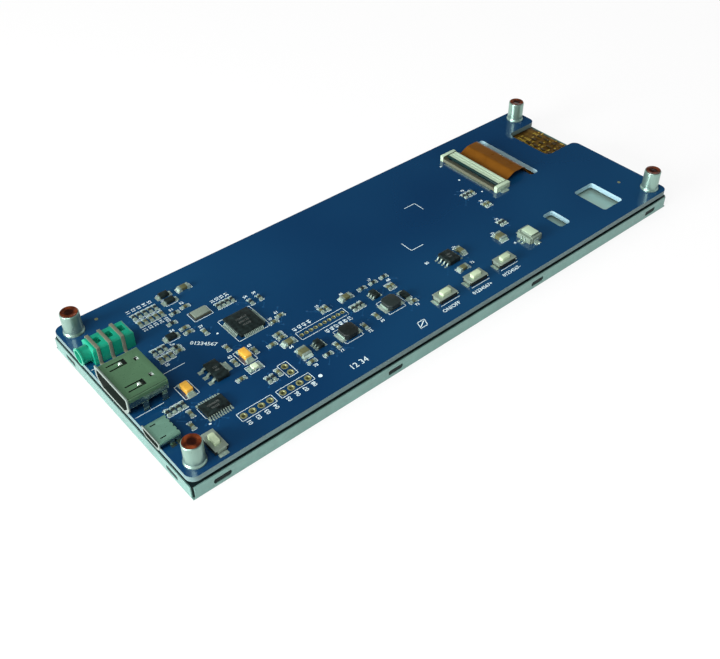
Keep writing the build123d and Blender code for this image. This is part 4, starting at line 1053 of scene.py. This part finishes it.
# Gold pads and short traces on the flexible circuit where the board's notch shows it
def makeFlexMarks():
    # Each row: where it lies along X, half the length of its pads, and the share that is filled
    look = {"rows": [(74.8, 0.35, 0.9), (75.9, 0.30, 0.8), (77.0, 0.42, 0.9), (78.3, 0.42, 0.8),
                     (80.1, 0.5, 0.5), (82.4, 0.5, 0.25), (84.6, 0.5, 0.25), (86.4, 0.5, 0.2)],
            "seed": 11, "low": 5.6, "count": 23, "pitch": 0.7, "vary": (0.6, 1.3), "halfWidth": 0.22,
            "thickness": 0.02}
    level = min(low.z for low, high in solidsOf("flex_parts"))
    rng = random.Random(look["seed"])

    def build(bm):
        top = level + look["thickness"] * mm
        half = look["halfWidth"]
        for x, size, share in look["rows"]:
            for i in range(look["count"]):
                if rng.random() > share:
                    continue
                y = look["low"] + (i + 0.5) * look["pitch"]
                reach = size * rng.uniform(*look["vary"])
                addBox(bm, ((x - reach) * mm, (y - half) * mm, level),
                       ((x + reach) * mm, (y + half) * mm, top))

    addPiece("flex_gold_marks", build, "flexGold", smooth=None)


makeFlexMarks()
print("flex marks made")


# The studio: sky, floor, lamps and camera
studio = {
    "horizon": 1.0, "ceiling": 0.03, "rise": (0.10, 0.42), "fill": 0.47,
    "floorShadow": 0.18, "floorColor": (0.93, 0.93, 0.93), "floorHalf": 4.0, "floorLevel": -0.0002,
    "lamps": [
        {"name": "keyLamp", "place": (-0.40, -0.18, 0.48), "size": 0.30, "power": 2.2},
        {"name": "leftLamp", "place": (-0.70, 0.04, 0.14), "size": 0.32, "power": 9.5},
        {"name": "backLamp", "place": (0.55, 0.05, 0.50), "size": 0.12, "power": 0.4},
    ],
}


# 1 where the eye, a reflection or a clear piece looks straight at the backdrop
def lookedAt(start):
    seen = start.make("ShaderNodeLightPath", out="Is Camera Ray")
    shown = seen + seen.output("Is Glossy Ray") + seen.output("Is Transmission Ray")
    return start.make("ShaderNodeClamp", None, {"Value": shown})


def makeSky():
    world = bpy.data.worlds.new("studioSky")
    bpy.context.scene.world = world
    world.use_nodes = True
    tree = world.node_tree
    tree.nodes.clear()
    start = Wire(tree)
    shown = lookedAt(start)
    spot = start.make("ShaderNodeTexCoord", out="Generated")
    rise = stretched(spot.make("ShaderNodeSeparateXYZ", None, {0: spot}, out="Z"), *studio["rise"],
                     {"interpolation_type": "SMOOTHSTEP"})
    glow = rise * (studio["ceiling"] - studio["horizon"]) + studio["horizon"]
    strength = shown * glow + (1 - shown) * studio["fill"]
    light = start.make("ShaderNodeBackground", None, {"Color": (1.0, 1.0, 1.0, 1.0), "Strength": strength})
    output = tree.nodes.new("ShaderNodeOutputWorld")
    tree.links.new(light.socket, output.inputs["Surface"])


def makeFloor():
    material, shader, start = newFinish("paleFloor", {"Base Color": studio["floorColor"], "Roughness": 0.9})
    share = lookedAt(start) * (1 - studio["floorShadow"])
    glow = start.make("ShaderNodeEmission", None, {"Color": (1.0, 1.0, 1.0, 1.0), "Strength": 1.0})
    lit = Wire(start.tree, shader.outputs[0])
    mix = start.make("ShaderNodeMixShader", None, {0: share, 1: lit, 2: glow})
    output = start.tree.nodes["Material Output"]
    start.tree.links.new(mix.socket, output.inputs["Surface"])
    mesh = bpy.data.meshes.new("paleFloor")
    half, level = studio["floorHalf"], studio["floorLevel"]
    corners = [(-half, -half, level), (half, -half, level), (half, half, level), (-half, half, level)]
    mesh.from_pydata(corners, [], [(0, 1, 2, 3)])
    mesh.materials.append(material)
    floor = bpy.data.objects.new("paleFloor", mesh)
    bpy.context.scene.collection.objects.link(floor)


def makeLamps():
    for lamp in studio["lamps"]:
        data = bpy.data.lights.new(lamp["name"], "AREA")
        data.size = lamp["size"]
        data.energy = lamp["power"]
        holder = bpy.data.objects.new(lamp["name"], data)
        holder.location = lamp["place"]
        holder.rotation_euler = (-Vector(lamp["place"])).to_track_quat("-Z", "Y").to_euler()
        bpy.context.scene.collection.objects.link(holder)


def makeCamera():
    look = {"place": (-0.14093, -0.15381, 0.16642), "turn": (47.991, -0.379, -41.264), "lens": 45.99,
            "sensor": 36.0, "shift": (-0.0243, -0.0057), "nearest": 0.005}
    data = bpy.data.cameras.new("photoCamera")
    data.lens = look["lens"]
    data.sensor_width = look["sensor"]
    data.shift_x, data.shift_y = look["shift"]
    data.clip_start = look["nearest"]
    camera = bpy.data.objects.new("photoCamera", data)
    camera.location = look["place"]
    camera.rotation_euler = Euler([math.radians(turn) for turn in look["turn"]])
    bpy.context.scene.collection.objects.link(camera)
    bpy.context.scene.camera = camera


makeSky()
makeFloor()
makeLamps()
makeCamera()
bpy.context.scene.view_settings.view_transform = "Standard"
print("studio made")
